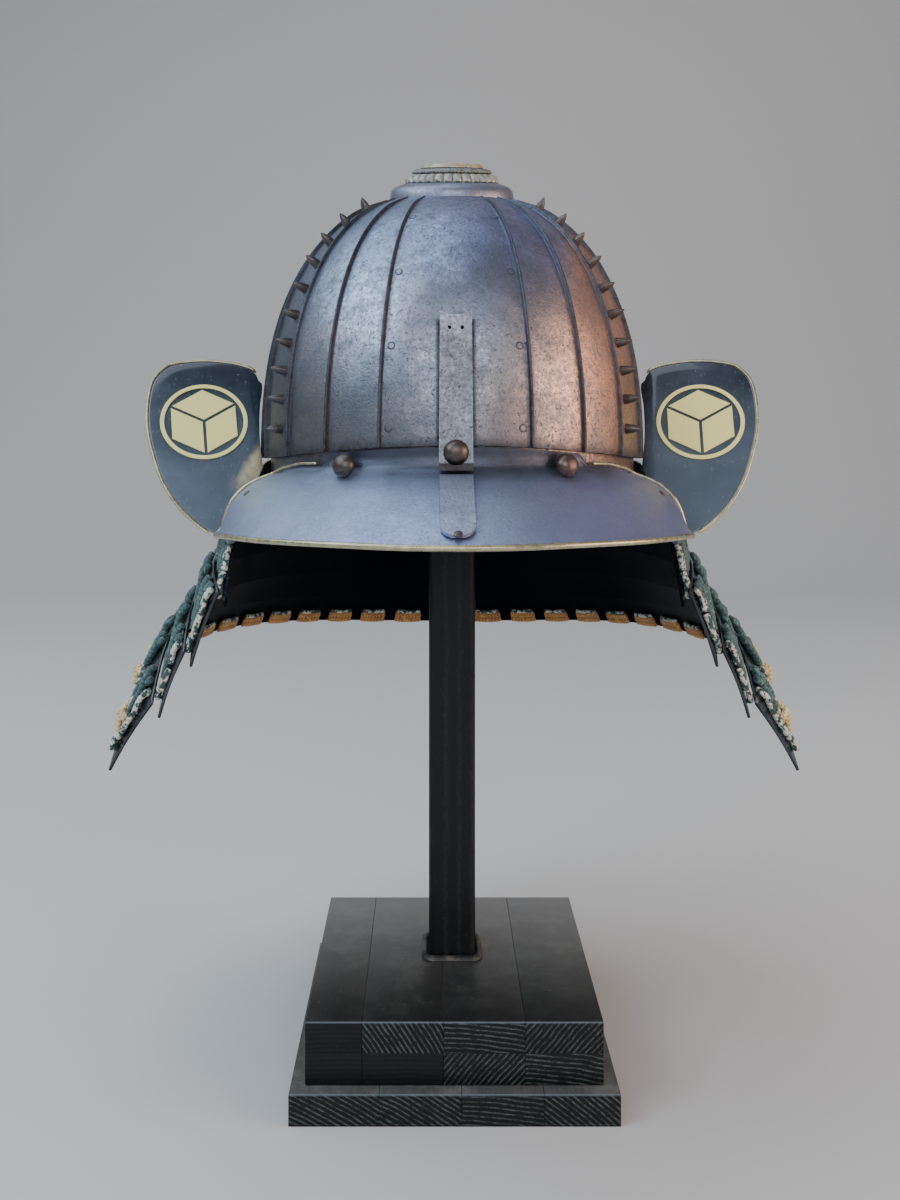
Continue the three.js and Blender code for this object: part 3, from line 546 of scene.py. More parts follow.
thorn_shape = [
    (2.9, -0.9), (2.75, 0.1), (2.5, 1), (2.35, 2.4), (2.05, 4.1), (1.55, 5.7), (0.95, 7), (0.4, 7.9),
    (0, 8.3),
]
flush_shape = [(2.1, -0.5), (2.05, 0.02), (1.75, 0.13), (0.9, 0.18), (0, 0.2)]
rivet_sides = 20
dark_foot = [1.0] * (3 * rivet_sides) + [0.0] * (2 * rivet_sides)
thorn_azimuth, thorn_count, thorn_low, thorn_high = math.radians(57.8), 10, 345.5 * MM, 465 * MM
flush_azimuth, flush_heights = math.radians(17.6), (346.6, 386, 423.6, 457)
rivet_iron = forged_iron("dark_rivet_iron", (0.12, 0.118, 0.125), (0.14, 0.1, 0.08), gloss=0.28)
for side, word in ((-1, "left"), (1, "right")):
    thorns = Skin()
    azimuth = side * thorn_azimuth
    rises = steps(300, rise_at(thorn_low), rise_at(thorn_high))
    lengths = [0.0]
    for low, high in zip(rises, rises[1:]):
        lengths.append(lengths[-1] + (bowl_point(azimuth, high) - bowl_point(azimuth, low)).length)
    for wanted in steps(thorn_count - 1, 0, lengths[-1]):
        rise = rises[min(range(len(lengths)), key=lambda j: abs(lengths[j] - wanted))]
        tilt = Vector([random.uniform(-0.06, 0.06) for _ in range(3)])
        lathed(thorns, thorn_shape, rivet_sides, bowl_point(azimuth, rise), bowl_out(azimuth, rise) + tilt)
    thorns.piece(f"thorn_rivets_{word}", "russet_iron", rivet_iron)
    flush = Skin()
    azimuth = side * flush_azimuth
    lowest = rise_at(brow_z(azimuth))
    for z in flush_heights:
        rise = rise_at(z * MM)
        foot = spread(azimuth, (rise - lowest) / (crown_rise - lowest))
        lathed(flush, flush_shape, rivet_sides, bowl_point(foot, rise), bowl_out(foot, rise), rust=dark_foot)
    flush.piece(f"flush_rivets_{word}", "russet_iron", bowl_iron)


# ---- Base band -------------------------------------------------------------------------------
# An iron band inside the plates' lower ends that they are riveted to. A strip of it shows below
# their edge, and the visor and the neck guard hang from it.
band_shape = [(-3.8, 7), (-3.8, -8.6), (-4.1, -9), (-5.5, -9), (-5.8, -8.6), (-5.8, 7)]
band = Skin()
band_sections = []
for azimuth in steps(180, 0, 2 * math.pi)[:-1]:
    section = []
    for out, z in band_shape:
        foot = bowl_point(azimuth, 0, out * MM).xy.to_3d()
        section.append(foot + Vector((0, 0, brow_z(azimuth) + z * MM)))
    band_sections.append(section)
band.strip(band_sections, ring=True)
band.piece("riveted_base_band", "russet_iron", bowl_iron, ["base_band"])


# ---- Crown fitting ---------------------------------------------------------------------------
# A soft-shouldered iron collar carries a gilt ring of flower petals, a twisted rope ring and a
# rim round the open hole. The whole stack leans forward with the crown of the bowl.
crown_z = 472
crown_tilt = Matrix.Translation((0, axis_y, crown_z * MM)) @ Matrix.Rotation(math.radians(9), 4, "X")


def crown_ring(name, rows, sides, slot, material, replaced, shaped=None):
    """Rows run from the outer foot over the top to the bore, each a radius and a height."""
    skin = Skin()
    sections = []
    for row, (radius, z) in enumerate(rows):
        section = []
        for angle in steps(sides, 0, 2 * math.pi)[:-1]:
            out, up = shaped(angle, row) if shaped else (0, 0)
            around = Vector((math.sin(angle), -math.cos(angle), 0)) * (radius + out)
            section.append(crown_tilt @ ((around + Vector((0, 0, z + up - crown_z))) * MM))
        sections.append(section)
    skin.strip(sections, caps=False)
    skin.piece(name, slot, material, [replaced], sharp=60)


collar_iron = forged_iron("collar_iron", (0.3, 0.33, 0.44), (0.46, 0.28, 0.24), gloss=0.3, wear=0.6)
crown_ring("soft_collar", [
    (10.6, 472.6), (35.7, 472.6), (35.6, 474), (35.2, 477), (34.7, 479.4), (33.8, 481), (32, 482.2),
    (29.5, 483.2), (27, 484.1), (24, 484.3), (10.6, 484.3), (10.6, 472.6),
], 96, "russet_iron", collar_iron, "crown_collar")


def verdigris(name, bare, salted):
    """Old gilt metal, dulled by grey salts and by grime in its hollows."""
    gilt = new_finish(name)
    salts = gilt.noise(150, 5, 0.7).clear(0.4, 0.66)
    grime = gilt.noise(420, 4, 0.7).clear(0.46, 0.7)
    return gilt.surface({
        "Base Color": (grime * 0.7).mix(salts.mix(bare, salted), (0.08, 0.08, 0.075)), "Metallic": 0.45,
        "Roughness": 0.36 + salts * 0.3, "Normal": gilt.noise(600, 3).bump(0.12 * MM, 0.5),
    })


petal_gilt = verdigris("grey_petal_gilt", (0.4, 0.4, 0.35), (0.38, 0.4, 0.38))
rope_gilt = verdigris("dark_rope_gilt", (0.2, 0.21, 0.2), (0.26, 0.29, 0.29))
rim_gilt = verdigris("yellow_rim_gilt", (0.52, 0.44, 0.27), (0.4, 0.41, 0.34))
petal_count, strand_count = 30, 66
petal_depths = (0.4, 1, 1, 1, 0.9, 0.6, 0.3, 0, 0, 0)
strand_depths = (0, 0.45, 0.6, 0.6, 0.6, 0.4, 0, 0, 0)


def petal_form(angle, row):
    """Each petal is rounded across and sinks in at its sides, least on the flat top."""
    across = (angle * petal_count / (2 * math.pi)) % 1 - 0.5
    sunk = (math.cos(math.pi * across) ** 0.5 - 1) * petal_depths[row]
    return 1.7 * sunk, sunk


crown_ring("gilt_petals", [
    (26.5, 484.6), (26.7, 485), (26.6, 485.9), (26, 487), (25.2, 488), (24.2, 488.7), (23, 489), (20, 489.1),
    (11.6, 489.1), (11.6, 484.6),
], petal_count * 12, "verdigris_gilt", petal_gilt, "crown_petals", petal_form)


def rope_form(angle, row):
    """Strands that lean as they run over the ring."""
    strand = abs(math.sin(angle * strand_count / 2 + row * 0.42)) ** 0.7
    return (strand - 1) * strand_depths[row], 0


crown_ring("twisted_rope_ring", [
    (21.6, 489.4), (22.6, 489.6), (22.9, 490.2), (22.6, 490.9), (21.7, 491.6), (20.6, 492), (19, 492.1),
    (11.6, 492.1), (11.6, 489.4),
], strand_count * 10, "verdigris_gilt", rope_gilt, "crown_rope_ring", rope_form)
crown_ring("hole_rim", [
    (17.6, 492.4), (18, 492.6), (18, 493.1), (17.5, 493.4), (17.3, 493.9), (17.2, 494.4), (16.6, 494.8),
    (12, 494.8), (10.8, 494.5), (10.5, 494), (10.5, 492.4),
], 120, "verdigris_gilt", rim_gilt, "crown_rim")


# ---- Visor -----------------------------------------------------------------------------------
# One forged plate: an upright flange riveted to the band, a soft bend and a blade that slopes down
# to its rim. A gilt bead runs along the free edge from ear to ear.
root_span, rim_span = math.radians(57.8), math.radians(80.3)
rim_half_width, rim_middle_y, rim_reach, rim_height = 122.8 * MM, -40 * MM, 127 * MM, 297.8 * MM
root_inset, visor_thick = 0.7 * MM, 1.8 * MM
corner_from, corner_round = 0.93, 5 * MM


def visor_profile(across):
    """Points down the visor's face, each with its way out; across is -1 and 1 at the two ears."""
    side = abs(across)
    root = bowl_point(across * root_span, 0, -root_inset).xy.to_3d()
    bend_z = bowl_foot - 3.2 * MM * across ** 2
    rim_x = rim_half_width * math.sin(across * rim_span)
    rim_y = rim_middle_y - rim_reach * math.cos(across * rim_span)
    rim_z = rim_height + 1.8 * MM * across ** 2 - 7 * MM * across ** 8
    rim = Vector((rim_x, rim_y, rim_z - 3.5 * MM * smooth_between(side, 0.25, 0.9)))
    outward = (rim - root).xy.normalized().to_3d()
    slope = math.atan2(bend_z - rim.z, (rim - root).xy.length)
    normal = outward * math.sin(slope) + Vector((0, 0, math.cos(slope)))
    flanged = 1 - smooth_between(side, 0.6, 0.68)
    bend_top = bend_z + 1.2 * MM
    flange_top = bend_top + (brow_z(across * root_span) - 0.9 * MM - bend_top) * flanged
    knee = root + outward * 3.6 * MM + Vector((0, 0, bend_z - 2.4 * MM))
    points = []
    for z in (flange_top, bend_z + (0.6 + 2.8 * flanged) * MM):
        upper = root + Vector((0, 0, z))
        points.append((upper.lerp(knee, 0.8 * smooth_between(side, 0.8, 1)), outward))
    points.append((knee, (normal + outward).normalized()))
    turn = max(0, side - corner_from) / (1 - corner_from)
    rim -= (rim - knee).normalized() * corner_round * (1 - math.sqrt(max(0, 1 - turn ** 2)))
    crown = 1.2 * MM + 6 * MM * across ** 4
    for share in (0.33, 0.66, 1):
        points.append((knee.lerp(rim, share) + normal * crown * math.sin(math.pi * share * 0.94), normal))
    return points


def curve_through(points, count, ring=False):
    """A smooth curve through points, with count steps between each pair."""
    made = []
    size = len(points)
    for i in range(size if ring else size - 1):
        nearby = [(i + k) % size if ring else min(max(i + k, 0), size - 1) for k in (-1, 0, 1, 2)]
        a, b, c, d = [points[k] for k in nearby]
        for t in steps(count, 0, 1)[:-1]:
            made.append(0.5 * (2 * b + (c - a) * t + (2 * a - 5 * b + 4 * c - d) * t ** 2
                               + (3 * b - a - 3 * c + d) * t ** 3))
    return made if ring else made + [points[-1].copy()]


visor = Skin()
visor_sections = []
for across in steps(240, -1, 1):
    profile = visor_profile(across)
    faces = curve_through([at for at, _ in profile], 6)
    normals = [normal.normalized() for normal in curve_through([normal for _, normal in profile], 6)]
    under = [at - normal * visor_thick for at, normal in zip(faces, normals)]
    visor_sections.append(faces + under[::-1])
visor.strip(visor_sections)


def visor_painted_shade(iron, ground, across, depth, height):
    """The stretch up under the bowl's edge is darkened: painted shade."""
    shade_under_bowl = height.clear(320.5 * MM, 328 * MM)
    return (shade_under_bowl * 0.95).mix(ground, (0.055, 0.06, 0.078))


visor_iron = forged_iron("visor_iron", (0.38, 0.45, 0.63), (0.3, 0.3, 0.56), gloss=0.33, ageing_and_shade=visor_painted_shade)
visor.piece("forged_visor", "russet_iron", visor_iron, ["visor"])


def tube(skin, path, radii, sides, up=Vector((0, 0, 1))):
    """A round bar along a path, with a radius for each point and its two ends drawn in."""
    last = len(path) - 1
    sections = []
    for i, (point, radius) in enumerate(zip(path, radii)):
        ahead = path[min(i + 1, last)] - path[max(i - 1, 0)]
        side = ahead.cross(up).normalized()
        above = side.cross(ahead).normalized()
        size = radius * (0.35 if i in (0, last) else 1)
        turns = steps(sides, 0, 2 * math.pi)[:-1]
        sections.append([point + (side * math.cos(turn) + above * math.sin(turn)) * size for turn in turns])
    skin.strip(sections)


def bead_path():
    """Along the free edge from ear to ear: on top of the edge at the ears, over it at the front."""
    tops, ears = [], []
    for side in (-1, 1):
        roots = [visor_profile(side * across)[0][0] for across in steps(5, 0.7, 0.95)]
        tops.append([root + Vector((0, 0, 1.2 * MM)) for root in roots])
        faces, normals = [curve_through(row, 3) for row in zip(*visor_profile(side))]
        ears.append([(at, normal, 1) for at, normal in zip(faces, normals)][6:-1])
    rim = []
    corner = steps(6, corner_from, 1)
    for across in [-a for a in corner[::-1]] + steps(44, -corner_from, corner_from)[1:-1] + corner:
        rim.append((*visor_profile(across)[-1], smooth_between(abs(across), 0.9, 1)))
    edge = ears[0] + rim + ears[1][::-1]
    path = []
    for i, (at, normal, side_on) in enumerate(edge):
        ahead = edge[min(i + 1, len(edge) - 1)][0] - edge[max(i - 1, 0)][0]
        aside = ahead.cross(normal).normalized()
        path.append(at + aside * (1.35 - 0.3 * side_on) * MM + normal * (1.2 * side_on - 0.6) * MM)
    return curve_through(tops[0] + path + tops[1][::-1], 5)


bead = Skin()
bead_line = bead_path()
bead_sizes = []
for point in bead_line:
    thinned = 1 - 0.2 * abs(point.x) / (120 * MM)
    thinned *= 1 - 0.38 * smooth_between(point.z, 300 * MM, 322 * MM)
    bead_sizes.append(1.5 * MM * thinned)
tube(bead, bead_line, bead_sizes, 14)
soft_gilt = new_finish("worn_gilt_edge")
rubbed = soft_gilt.noise(240, 4, 0.6).clear(0.4, 0.62)
tarnish = soft_gilt.noise(45, 3, 0.6).clear(0.5, 0.75)
edge_gold = rubbed.mix((0.42, 0.385, 0.25), (0.55, 0.505, 0.33))
gilt_edge = soft_gilt.surface({
    "Base Color": (tarnish * 0.35).mix(edge_gold, (0.2, 0.19, 0.13)), "Metallic": 0.85,
    "Roughness": 0.26 + rubbed * 0.12, "Normal": soft_gilt.noise(600, 3).bump(0.06 * MM, 0.5),
})
bead.piece("visor_edge_bead", "gilt", gilt_edge, ["visor_bead"])


# ---- Crest holder and domed rivets -----------------------------------------------------------
# A flat iron strip stands against the front plate with a folded ledge at its foot, and a tongue
# runs from it down the visor. Three domed rivets hold visor, holder and band together. The strip
# and the tongue keep the shape of their solids.


def holder_wear_and_shade(iron, ground, across, depth, height):
    """Its long edges are worn bright; the folded ledge at its foot is darkened to dark brown, which is
    painted shade.
    """
    edges = across.maths("ABSOLUTE", across).clear(7.3 * MM, 8.2 * MM)
    ground = (edges * 0.6).mix(ground, (0.75, 0.77, 0.8))
    # Painted shade: the folded ledge at the foot is darkened to dark brown.
    return (1 - height.clear(330 * MM, 331.2 * MM)).mix(ground, (0.035, 0.024, 0.019))


def tongue_dark_sides(iron, ground, across, depth, height):
    """A dark line runs along both sides of the tongue."""
    sides = across.maths("ABSOLUTE", across).clear(7.4 * MM, 8.3 * MM)
    return (sides * 0.85).mix(ground, (0.07, 0.06, 0.065))


holder_iron = forged_iron("holder_iron", (0.32, 0.345, 0.4), (0.36, 0.335, 0.35), gloss=0.3, wear=0.9,
                          ageing_and_shade=holder_wear_and_shade)
tongue_iron = forged_iron("tongue_iron", (0.42, 0.48, 0.62), (0.4, 0.42, 0.6), gloss=0.32, wear=0.6,
                          ageing_and_shade=tongue_dark_sides)
for name, iron in (("crest_holder", holder_iron), ("crest_holder_tongue", tongue_iron)):
    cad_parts[name].data.materials.clear()
    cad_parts[name].data.materials.append(iron)
dome_shape = [
    (6, -0.6), (6, 0), (5.85, 0.9), (5.4, 2.1), (4.6, 3.2), (3.5, 4.1), (2.1, 4.6), (0.9, 4.8), (0, 4.85),
]
dome_iron = forged_iron("dome_iron", (0.11, 0.09, 0.085), (0.16, 0.105, 0.08), gloss=0.28, wear=0.12)
holder_out = Vector((0, -1, math.tan(math.radians(3.5))))
side_dome, dome_lift = math.radians(28.4), 3.85 * MM
dome_places = {"centre": (Vector((0, axis_y - 124.1 * MM, 335.6 * MM)), holder_out)}
for side, word in ((-1, "left"), (1, "right")):
    (top, top_out), (knee, knee_out) = visor_profile(side * side_dome / root_span)[1:3]
    square = (top_out + knee_out).normalized()
    dome_places[word] = (top.lerp(knee, 0.5) + square * dome_lift, square)
for word, (foot, out) in dome_places.items():
    dome = Skin()
    lathed(dome, dome_shape, 40, foot, out)
    dome.piece("domed_rivet_" + word, "russet_iron", dome_iron, ["dome_rivet_" + word])
small_shape = [(2.2, -0.4), (2.1, 0.3), (1.6, 0.75), (0.8, 0.95), (0, 1)]
small_places = ((-0.93, 0.45), (0.93, 0.45), (0, 0.915))
small = Skin()
for across, share in small_places:
    row = int(share * 3)
    (above, out), (below, _) = visor_profile(across)[row + 2:row + 4]
    raised = 2.1 * MM if across == 0 else 0.1 * MM
    lathed(small, small_shape, 24, above.lerp(below, share * 3 % 1) + out * raised, out)
small.piece("visor_small_rivets", "russet_iron", dome_iron)


# ---- Neck guard lames ------------------------------------------------------------------------
# Five curved iron plates in black lacquer, each hung outside the one above. They flare from the
# bowl to the shoulders, rise at the sides and droop to pointed front corners.

# Each row: half width, half length and roundness of a lower edge, half the gap between its front
# corners, how far they reach forward, and how far down the guard it hangs.
lower_edges = [
    (120, 134, 1.95, 112, 49, 0), (130, 146, 1.95, 118.5, 67, 0.3), (139, 155, 2.05, 135.5, 70, 0.55),
    (151, 165, 2.1, 152, 69, 0.77), (169.5, 178, 2.2, 178, 66, 1),
]
flank = 0.78
guard_top, guard_foot, side_lift, corner_droop, droop_from = 290, 203, 10, 43, 0.73
lame_thick, lame_gap, lame_lap = 1.6, 3.2, 8


def guard_edge_z(along, depth):
    """The height of a lower edge: it rises at the sides and droops to the front corners."""
    w = abs(along)
    droop = corner_droop * max(0, (w - droop_from) / (1 - droop_from)) ** 3
    low = guard_foot + side_lift * smooth_between(w, 0, 0.55) - droop
    return guard_top + (low - guard_top) * depth


def edge_point(edge, along, z):
    """Along an edge: an arc round the rear up to the flank, then forward to the corner."""
    half_width, half_length, power, corner, reach = edge
    w = abs(along)
    if w > flank:
        forward = (w - flank) / (1 - flank)
        x = half_width + (corner - half_width) * forward ** 2
        y = -reach * forward
    else:
        angle = math.radians(90) * w / flank
        x = half_width * math.sin(angle) ** (2 / power)
        y = half_length * max(0, math.cos(angle)) ** (2 / power)
    return Vector((math.copysign(x, along), y, z)) * MM + Vector((0, axis_y, 0))


def lame_point(index, along, down, out=0.0):
    """A point of a lame: down runs from its top edge to its bottom edge, out is from its face."""
    *lower, depth = lower_edges[index]
    if index == 0:
        upper, top_z = (105.6, 119.6, 2, 102.7, 28), 326.5
    else:
        half_width, half_length, power, corner, reach, above = lower_edges[index - 1]
        reach = 34 if index == 1 else reach
        upper = (half_width + lame_gap, half_length + lame_gap, power, corner + lame_gap, reach)
        top_z = guard_edge_z(along, above) + lame_lap
    top = edge_point(upper, along, top_z)
    bottom = edge_point(lower, along, guard_edge_z(along, depth))
    ahead = edge_point(upper, along + 0.01, 0) - edge_point(upper, along - 0.01, 0)
    outward = Vector((-ahead.y, ahead.x, 0)).normalized()
    flare = math.hypot(bottom.x, bottom.y - axis_y) - math.hypot(top.x, top.y - axis_y)
    slope = math.atan2(flare, top.z - bottom.z)
    normal = outward * math.cos(slope) + Vector((0, 0, math.sin(slope)))
    return top.lerp(bottom, down) + normal * (out + MM * math.sin(math.pi * down))


def lame_out(index, along, down):
    """The way straight out of a lame's face."""
    return (lame_point(index, along, down, MM) - lame_point(index, along, down)).normalized()


def black_lacquer(name, deep, pale, hazy, lift):
    """Polished black lacquer, hazed and scratched; lift is how much paler it is low down, a painted
    reflection. Inner faces keep the deep colour and are metallic, so they stay dark: painted shade. A mark on
    the skin paints a gold highlight.
    """
    lacquer = new_finish(name)
    haze = lacquer.noise(20, 4, 0.6).clear(0.38, 0.72)
    scratch = lacquer.noise(1, 3, 0.6, lacquer.scaled(500, 500, 50)).clear(0.6, 0.74)
    chip = lacquer.noise(420, 2, 0.6).clear(0.68, 0.73)
    # Inner faces keep the deep colour, without haze, scratches or chips, and are metallic, so they stay dark:
    # painted shade.
    outside = 1 - lacquer.mark("inside")
    low = 1 - lacquer.place().part(2).clear(300 * MM, 372 * MM)
    # Paler low down by lift: painted reflection of the sky.
    worn = (haze * hazy + scratch * 0.25 + low * lift) * outside
    # A mark on the skin paints a gold highlight over the lacquer.
    rubbed_through = lacquer.mark("rub") * lacquer.noise(55, 3, 0.6).clear(0.15, 0.55)
    tint = (chip * outside * 0.6).mix(worn.mix(deep, pale), (0.16, 0.19, 0.21))
    return lacquer.surface({
        "Base Color": rubbed_through.mix(tint, (0.62, 0.53, 0.33)), "Metallic": 1 - outside,
        "Roughness": 0.17 + haze * 0.12 + scratch * 0.14 + (1 - outside) * 0.4, "Coat Weight": 0.6 * outside,
        "Normal": lacquer.noise(48, 2).bump(0.4 * MM, 0.2, scratch.bump(0.05 * MM, 0.3)),
    })


lame_lacquer = black_lacquer("black_lacquer", (0.004, 0.006, 0.009), (0.035, 0.05, 0.072), hazy=0.45, lift=0)
lame_edge_shape = [(0, -0.8), (0.004, -0.3), (0.014, -0.05), (0.03, 0)]
outer_face = lame_edge_shape + [(down, 0) for down in steps(10, 0.06, 0.94)]
outer_face += [(1 - down, out) for down, out in lame_edge_shape[::-1]]
inner_face = [(down, -lame_thick) for down in steps(8, 0.99, 0.01)]
inside = [0.0] * len(outer_face) + [1.0] * len(inner_face)
for index in range(5):
    sheet = Skin()
    sections = []
    for along in steps(170, -1, 1):
        sections.append([lame_point(index, along, down, out * MM) for down, out in outer_face + inner_face])
    sheet.strip(sections, inside=inside * len(sections))
    sheet.piece(f"lacquered_lame_{index + 1}", "black_lacquer", lame_lacquer, [f"lame_{index + 1}"], sharp=50)


# ---- Turned-back wings -----------------------------------------------------------------------
# The front ends of the first lame are bent outwards and back as lacquered wings with a thin gilt
# rim. Each bears a traditional geometric crest in pale gold: a ring round a hexagon of rhombs.

# Points of the outline from a wing's middle, outwards and upwards, clockwise from the inner edge.
wing_outline = [
    (-33.2, 26), (-30.5, 34.5), (-20, 39.5), (-2, 42), (16, 40), (24, 35), (29.5, 26), (31.8, 10),
    (31.3, -5.5), (27.7, -22.7), (23.4, -36.5), (16.6, -49.7), (7.7, -60.7), (-1.3, -68.5), (-14, -74),
    (-24, -56), (-31.5, -36), (-30.5, -9), (-31.3, 11),
]
wing_lean, wing_turn = math.radians(31), math.radians(11.9)
curl_from, face_inset, rim_inset, rim_out = -25, 2.1, 0.95, -0.6


def wing_frame(side):
    """A wing's middle and its ways outward, up and out of its face."""
    centre = Vector((side * 138.2, -10.5, 348.6)) * MM
    outward = Vector((side * math.cos(wing_turn), -math.sin(wing_turn), 0))
    back = Vector((side * math.sin(wing_turn), math.cos(wing_turn), 0))
    up = back * math.sin(wing_lean) + Vector((0, 0, math.cos(wing_lean)))
    normal = Vector((0, 0, math.sin(wing_lean))) - back * math.cos(wing_lean)
    return centre, outward, up, normal


def wing_point(side, h, v, out=0.0):
    """A point of a wing, whose inner edge curls back to the lame that it is bent from."""
    centre, outward, up, normal = wing_frame(side)
    curl = max(0, curl_from - h) ** 2 / 17
    return centre + (outward * h + up * v + normal * (out - curl)) * MM


dense_outline = curve_through([Vector((h, v, 0)) for h, v in wing_outline], 6, ring=True)
rim_first, rim_last = 2, 82


def wing_edge(inset):
    """The outline moved in by inset millimetres where the gilt rim runs."""
    moved = []
    for i, point in enumerate(dense_outline):
        before, after = dense_outline[i - 1], dense_outline[(i + 1) % len(dense_outline)]
        way = (after - before).normalized()
        rimmed = rim_first <= i <= rim_last
        moved.append(point + Vector((way.y, -way.x, 0)) * inset if rimmed else point.copy())
    return moved


# The wings' lacquer is bluer than the lames' and paler low down: painted reflection of the sky.
wing_lacquer = black_lacquer("wing_lacquer_painted_reflection", (0.01, 0.019, 0.036), (0.11, 0.15, 0.2), hazy=0.35,
                             lift=0.75)
wing_middle = Vector((-4, -8, 0))
wing_back = -2
face_rows = [(share, 0) for share in [0.02] + steps(9, 0.1, 0.985)]
face_rows += [(0.997, -0.15), (1, -0.6), (1, -1.4)]
back_rows = [(share, wing_back) for share in steps(9, 0.985, 0.02)]


def painted_gold_highlight(h, v):
    """How strongly the left wing's lower inner edge is painted with a gold highlight."""
    inward = smooth_between(-h - 0.6 * (v + 24), 22.5, 26)
    return inward * smooth_between(-v, 6, 16) * (1 - smooth_between(-v, 34, 46))


for side, word in ((-1, "left"), (1, "right")):
    wing = Skin()
    edge = wing_edge(face_inset)
    rows, rub = [], []
    for share, out in face_rows + back_rows:
        points = [wing_middle.lerp(point, share).xy for point in edge]
        rows.append([wing_point(side, *point, out) for point in points])
        # Only the left wing's face gets the painted gold highlight.
        rub += [painted_gold_highlight(*point) if side < 0 and out > wing_back else 0.0 for point in points]
    wing.strip(rows, rub=rub)
    wing.piece(f"turned_back_wing_{word}", "black_lacquer", wing_lacquer, sharp=50)
    rim = Skin()
    rim_points = wing_edge(rim_inset)[rim_first + 4:rim_last - 3]
    rim_line = [wing_point(side, *point.xy, rim_out) for point in rim_points]
    tube(rim, rim_line, [rim_inset * MM] * len(rim_line), 12, wing_frame(side)[3])
    rim.piece(f"wing_gilt_rim_{word}", "gilt", gilt_edge, [f"wing_rim_{word}"])

pale_gold = new_finish("pale_gold_lacquer")
age = pale_gold.noise(210, 4, 0.65).clear(0.45, 0.7)
crest_gold = pale_gold.surface({
    "Base Color": (age * 0.25).mix((1, 0.9, 0.34), (0.93, 0.76, 0.25)), "Metallic": 0,
    "Roughness": 0.36 + age * 0.15, "Normal": pale_gold.noise(500, 3).bump(0.06 * MM, 0.5),
})
ring_shape = [(21.7, 0), (21.7, 0.45), (21.9, 0.6), (23.8, 0.6), (24, 0.45), (24, 0)]
crest_lift, rhomb_side, rhomb_shift = 0.3, 20.4, 0.52
rhomb_shape = [(0.956, 0), (0.956, 0.45), (0.94, 0.6)]


def crest_point(side, at, out):
    """A point on a wing's face; x of at runs to the right as seen from the front."""
    centre, outward, up, normal = wing_frame(side)
    return centre + (outward * side * at.x + up * at.y + normal * (out + crest_lift)) * MM


for side, word in ((-1, "left"), (1, "right")):
    crest = Skin()
    crest.strip([[crest_point(side, heading(angle) * radius, out) for radius, out in ring_shape]
                 for angle in steps(120, 0, 360)[:-1]], ring=True)
    for turn in (32.8, 152.8, 272.8):
        corners = [Vector()] + [heading(turn + angle) * rhomb_side for angle in (0, 60, 120)]
        middle = sum(corners, Vector()) / 4
        shift = heading(turn + 60) * rhomb_shift
        crest.strip([[crest_point(side, middle.lerp(corner, size) + shift, out) for corner in corners]
                     for size, out in rhomb_shape])
    crest.piece(f"wing_crest_{word}", "gold_lacquer", crest_gold,
                [f"crest_ring_{word}"] + [f"crest_rhomb_{word}_{i}" for i in (1, 2, 3)], sharp=30)


# ---- Lacing ----------------------------------------------------------------------------------
# Pairs of flat silk braids join the lames. Each pair comes over a lame's top edge, crosses itself
# and runs down its face under the next lame. A white-flecked braid edges each front corner.
column_count, column_end, pair_room, edge_place = 27, 0.962, 4.5, 0.987
reaches = (0.75, 0.72, 0.72, 0.52)
strand_pitch, plait_step, plait_corners = 2.3 * MM, 0.55 * MM, 12


def plait(skin, path, faces, width, thick):
    """A flat braid along a path: its strands meet in chevrons that stand proud of the core."""
    length = sum((after - before).length for before, after in zip(path, path[1:]))
    path = curve_through(path, max(1, round(length / (len(path) - 1) / plait_step)))
    last = len(path) - 1
    sections, run = [], 0.0
    for i, point in enumerate(path):
        before, after = path[max(i - 1, 0)], path[min(i + 1, last)]
        run += (point - before).length
        side = (after - before).cross(faces[round(i * (len(faces) - 1) / last)]).normalized()
        above = side.cross(after - before).normalized()
        section = []
        for k in range(plait_corners):
            fold = 1 - abs((4 * k / plait_corners) % 2 - 1)
            ridge = abs(math.sin(math.pi * (run / strand_pitch + fold * 0.8))) ** 0.7
            size = (0.8 + 0.24 * ridge) * (0.55 if i in (0, last) else 1) * MM / 2
            angle = 2 * math.pi * k / plait_corners
            section.append(point + (side * width * math.cos(angle) + above * thick * math.sin(angle)) * size)
        sections.append(section)
    skin.strip(sections)


def braided_silk(name, deep, bright, fleck, fleck_share):
    """Silk whose strands run in chevrons along the braid, with flecks; its colour is darker in the grooves
    and paler on the ridges, painted shade and painted highlight.
    """
    silk = new_finish(name)
    around, length = [silk.node("UVMap", {"uv_map": "run"}).part(axis) for axis in range(2)]
    fold = (around * 4).maths("PINGPONG", around * 4, 1)
    phase = (length / strand_pitch + fold * 0.8) * math.pi
    ridge = phase.maths("ABSOLUTE", phase.maths("SINE", phase)) ** 0.7
    strands = silk.noise(1, 3, 0.7, silk.scaled(2400, 2400, 2400))
    worn = silk.noise(80, 4, 0.65).clear(0.38, 0.66)
    # Darker in the grooves and paler on the strand ridges: painted shade and painted highlight.
    ground = (ridge * 0.75 + worn * 0.35 - 0.1).mix(deep, bright)
    flecks = silk.noise(330, 2, 0.5).clear(0.62 - fleck_share * 0.3, 0.68 - fleck_share * 0.3)
    return silk.surface({
        "Base Color": flecks.mix(ground, fleck), "Roughness": 0.6 + worn * 0.2, "Sheen Weight": 0.2,
        "Normal": (ridge * 0.4 + strands * 0.5).bump(0.4 * MM, 0.9),
    })


teal = braided_silk("teal_silk", (0.006, 0.022, 0.023), (0.062, 0.155, 0.15), (0.13, 0.24, 0.23), 0.1)
white_teal = braided_silk("white_flecked_silk", (0.3, 0.33, 0.27), (0.8, 0.78, 0.66), (0.02, 0.06, 0.058),
                          0.5)
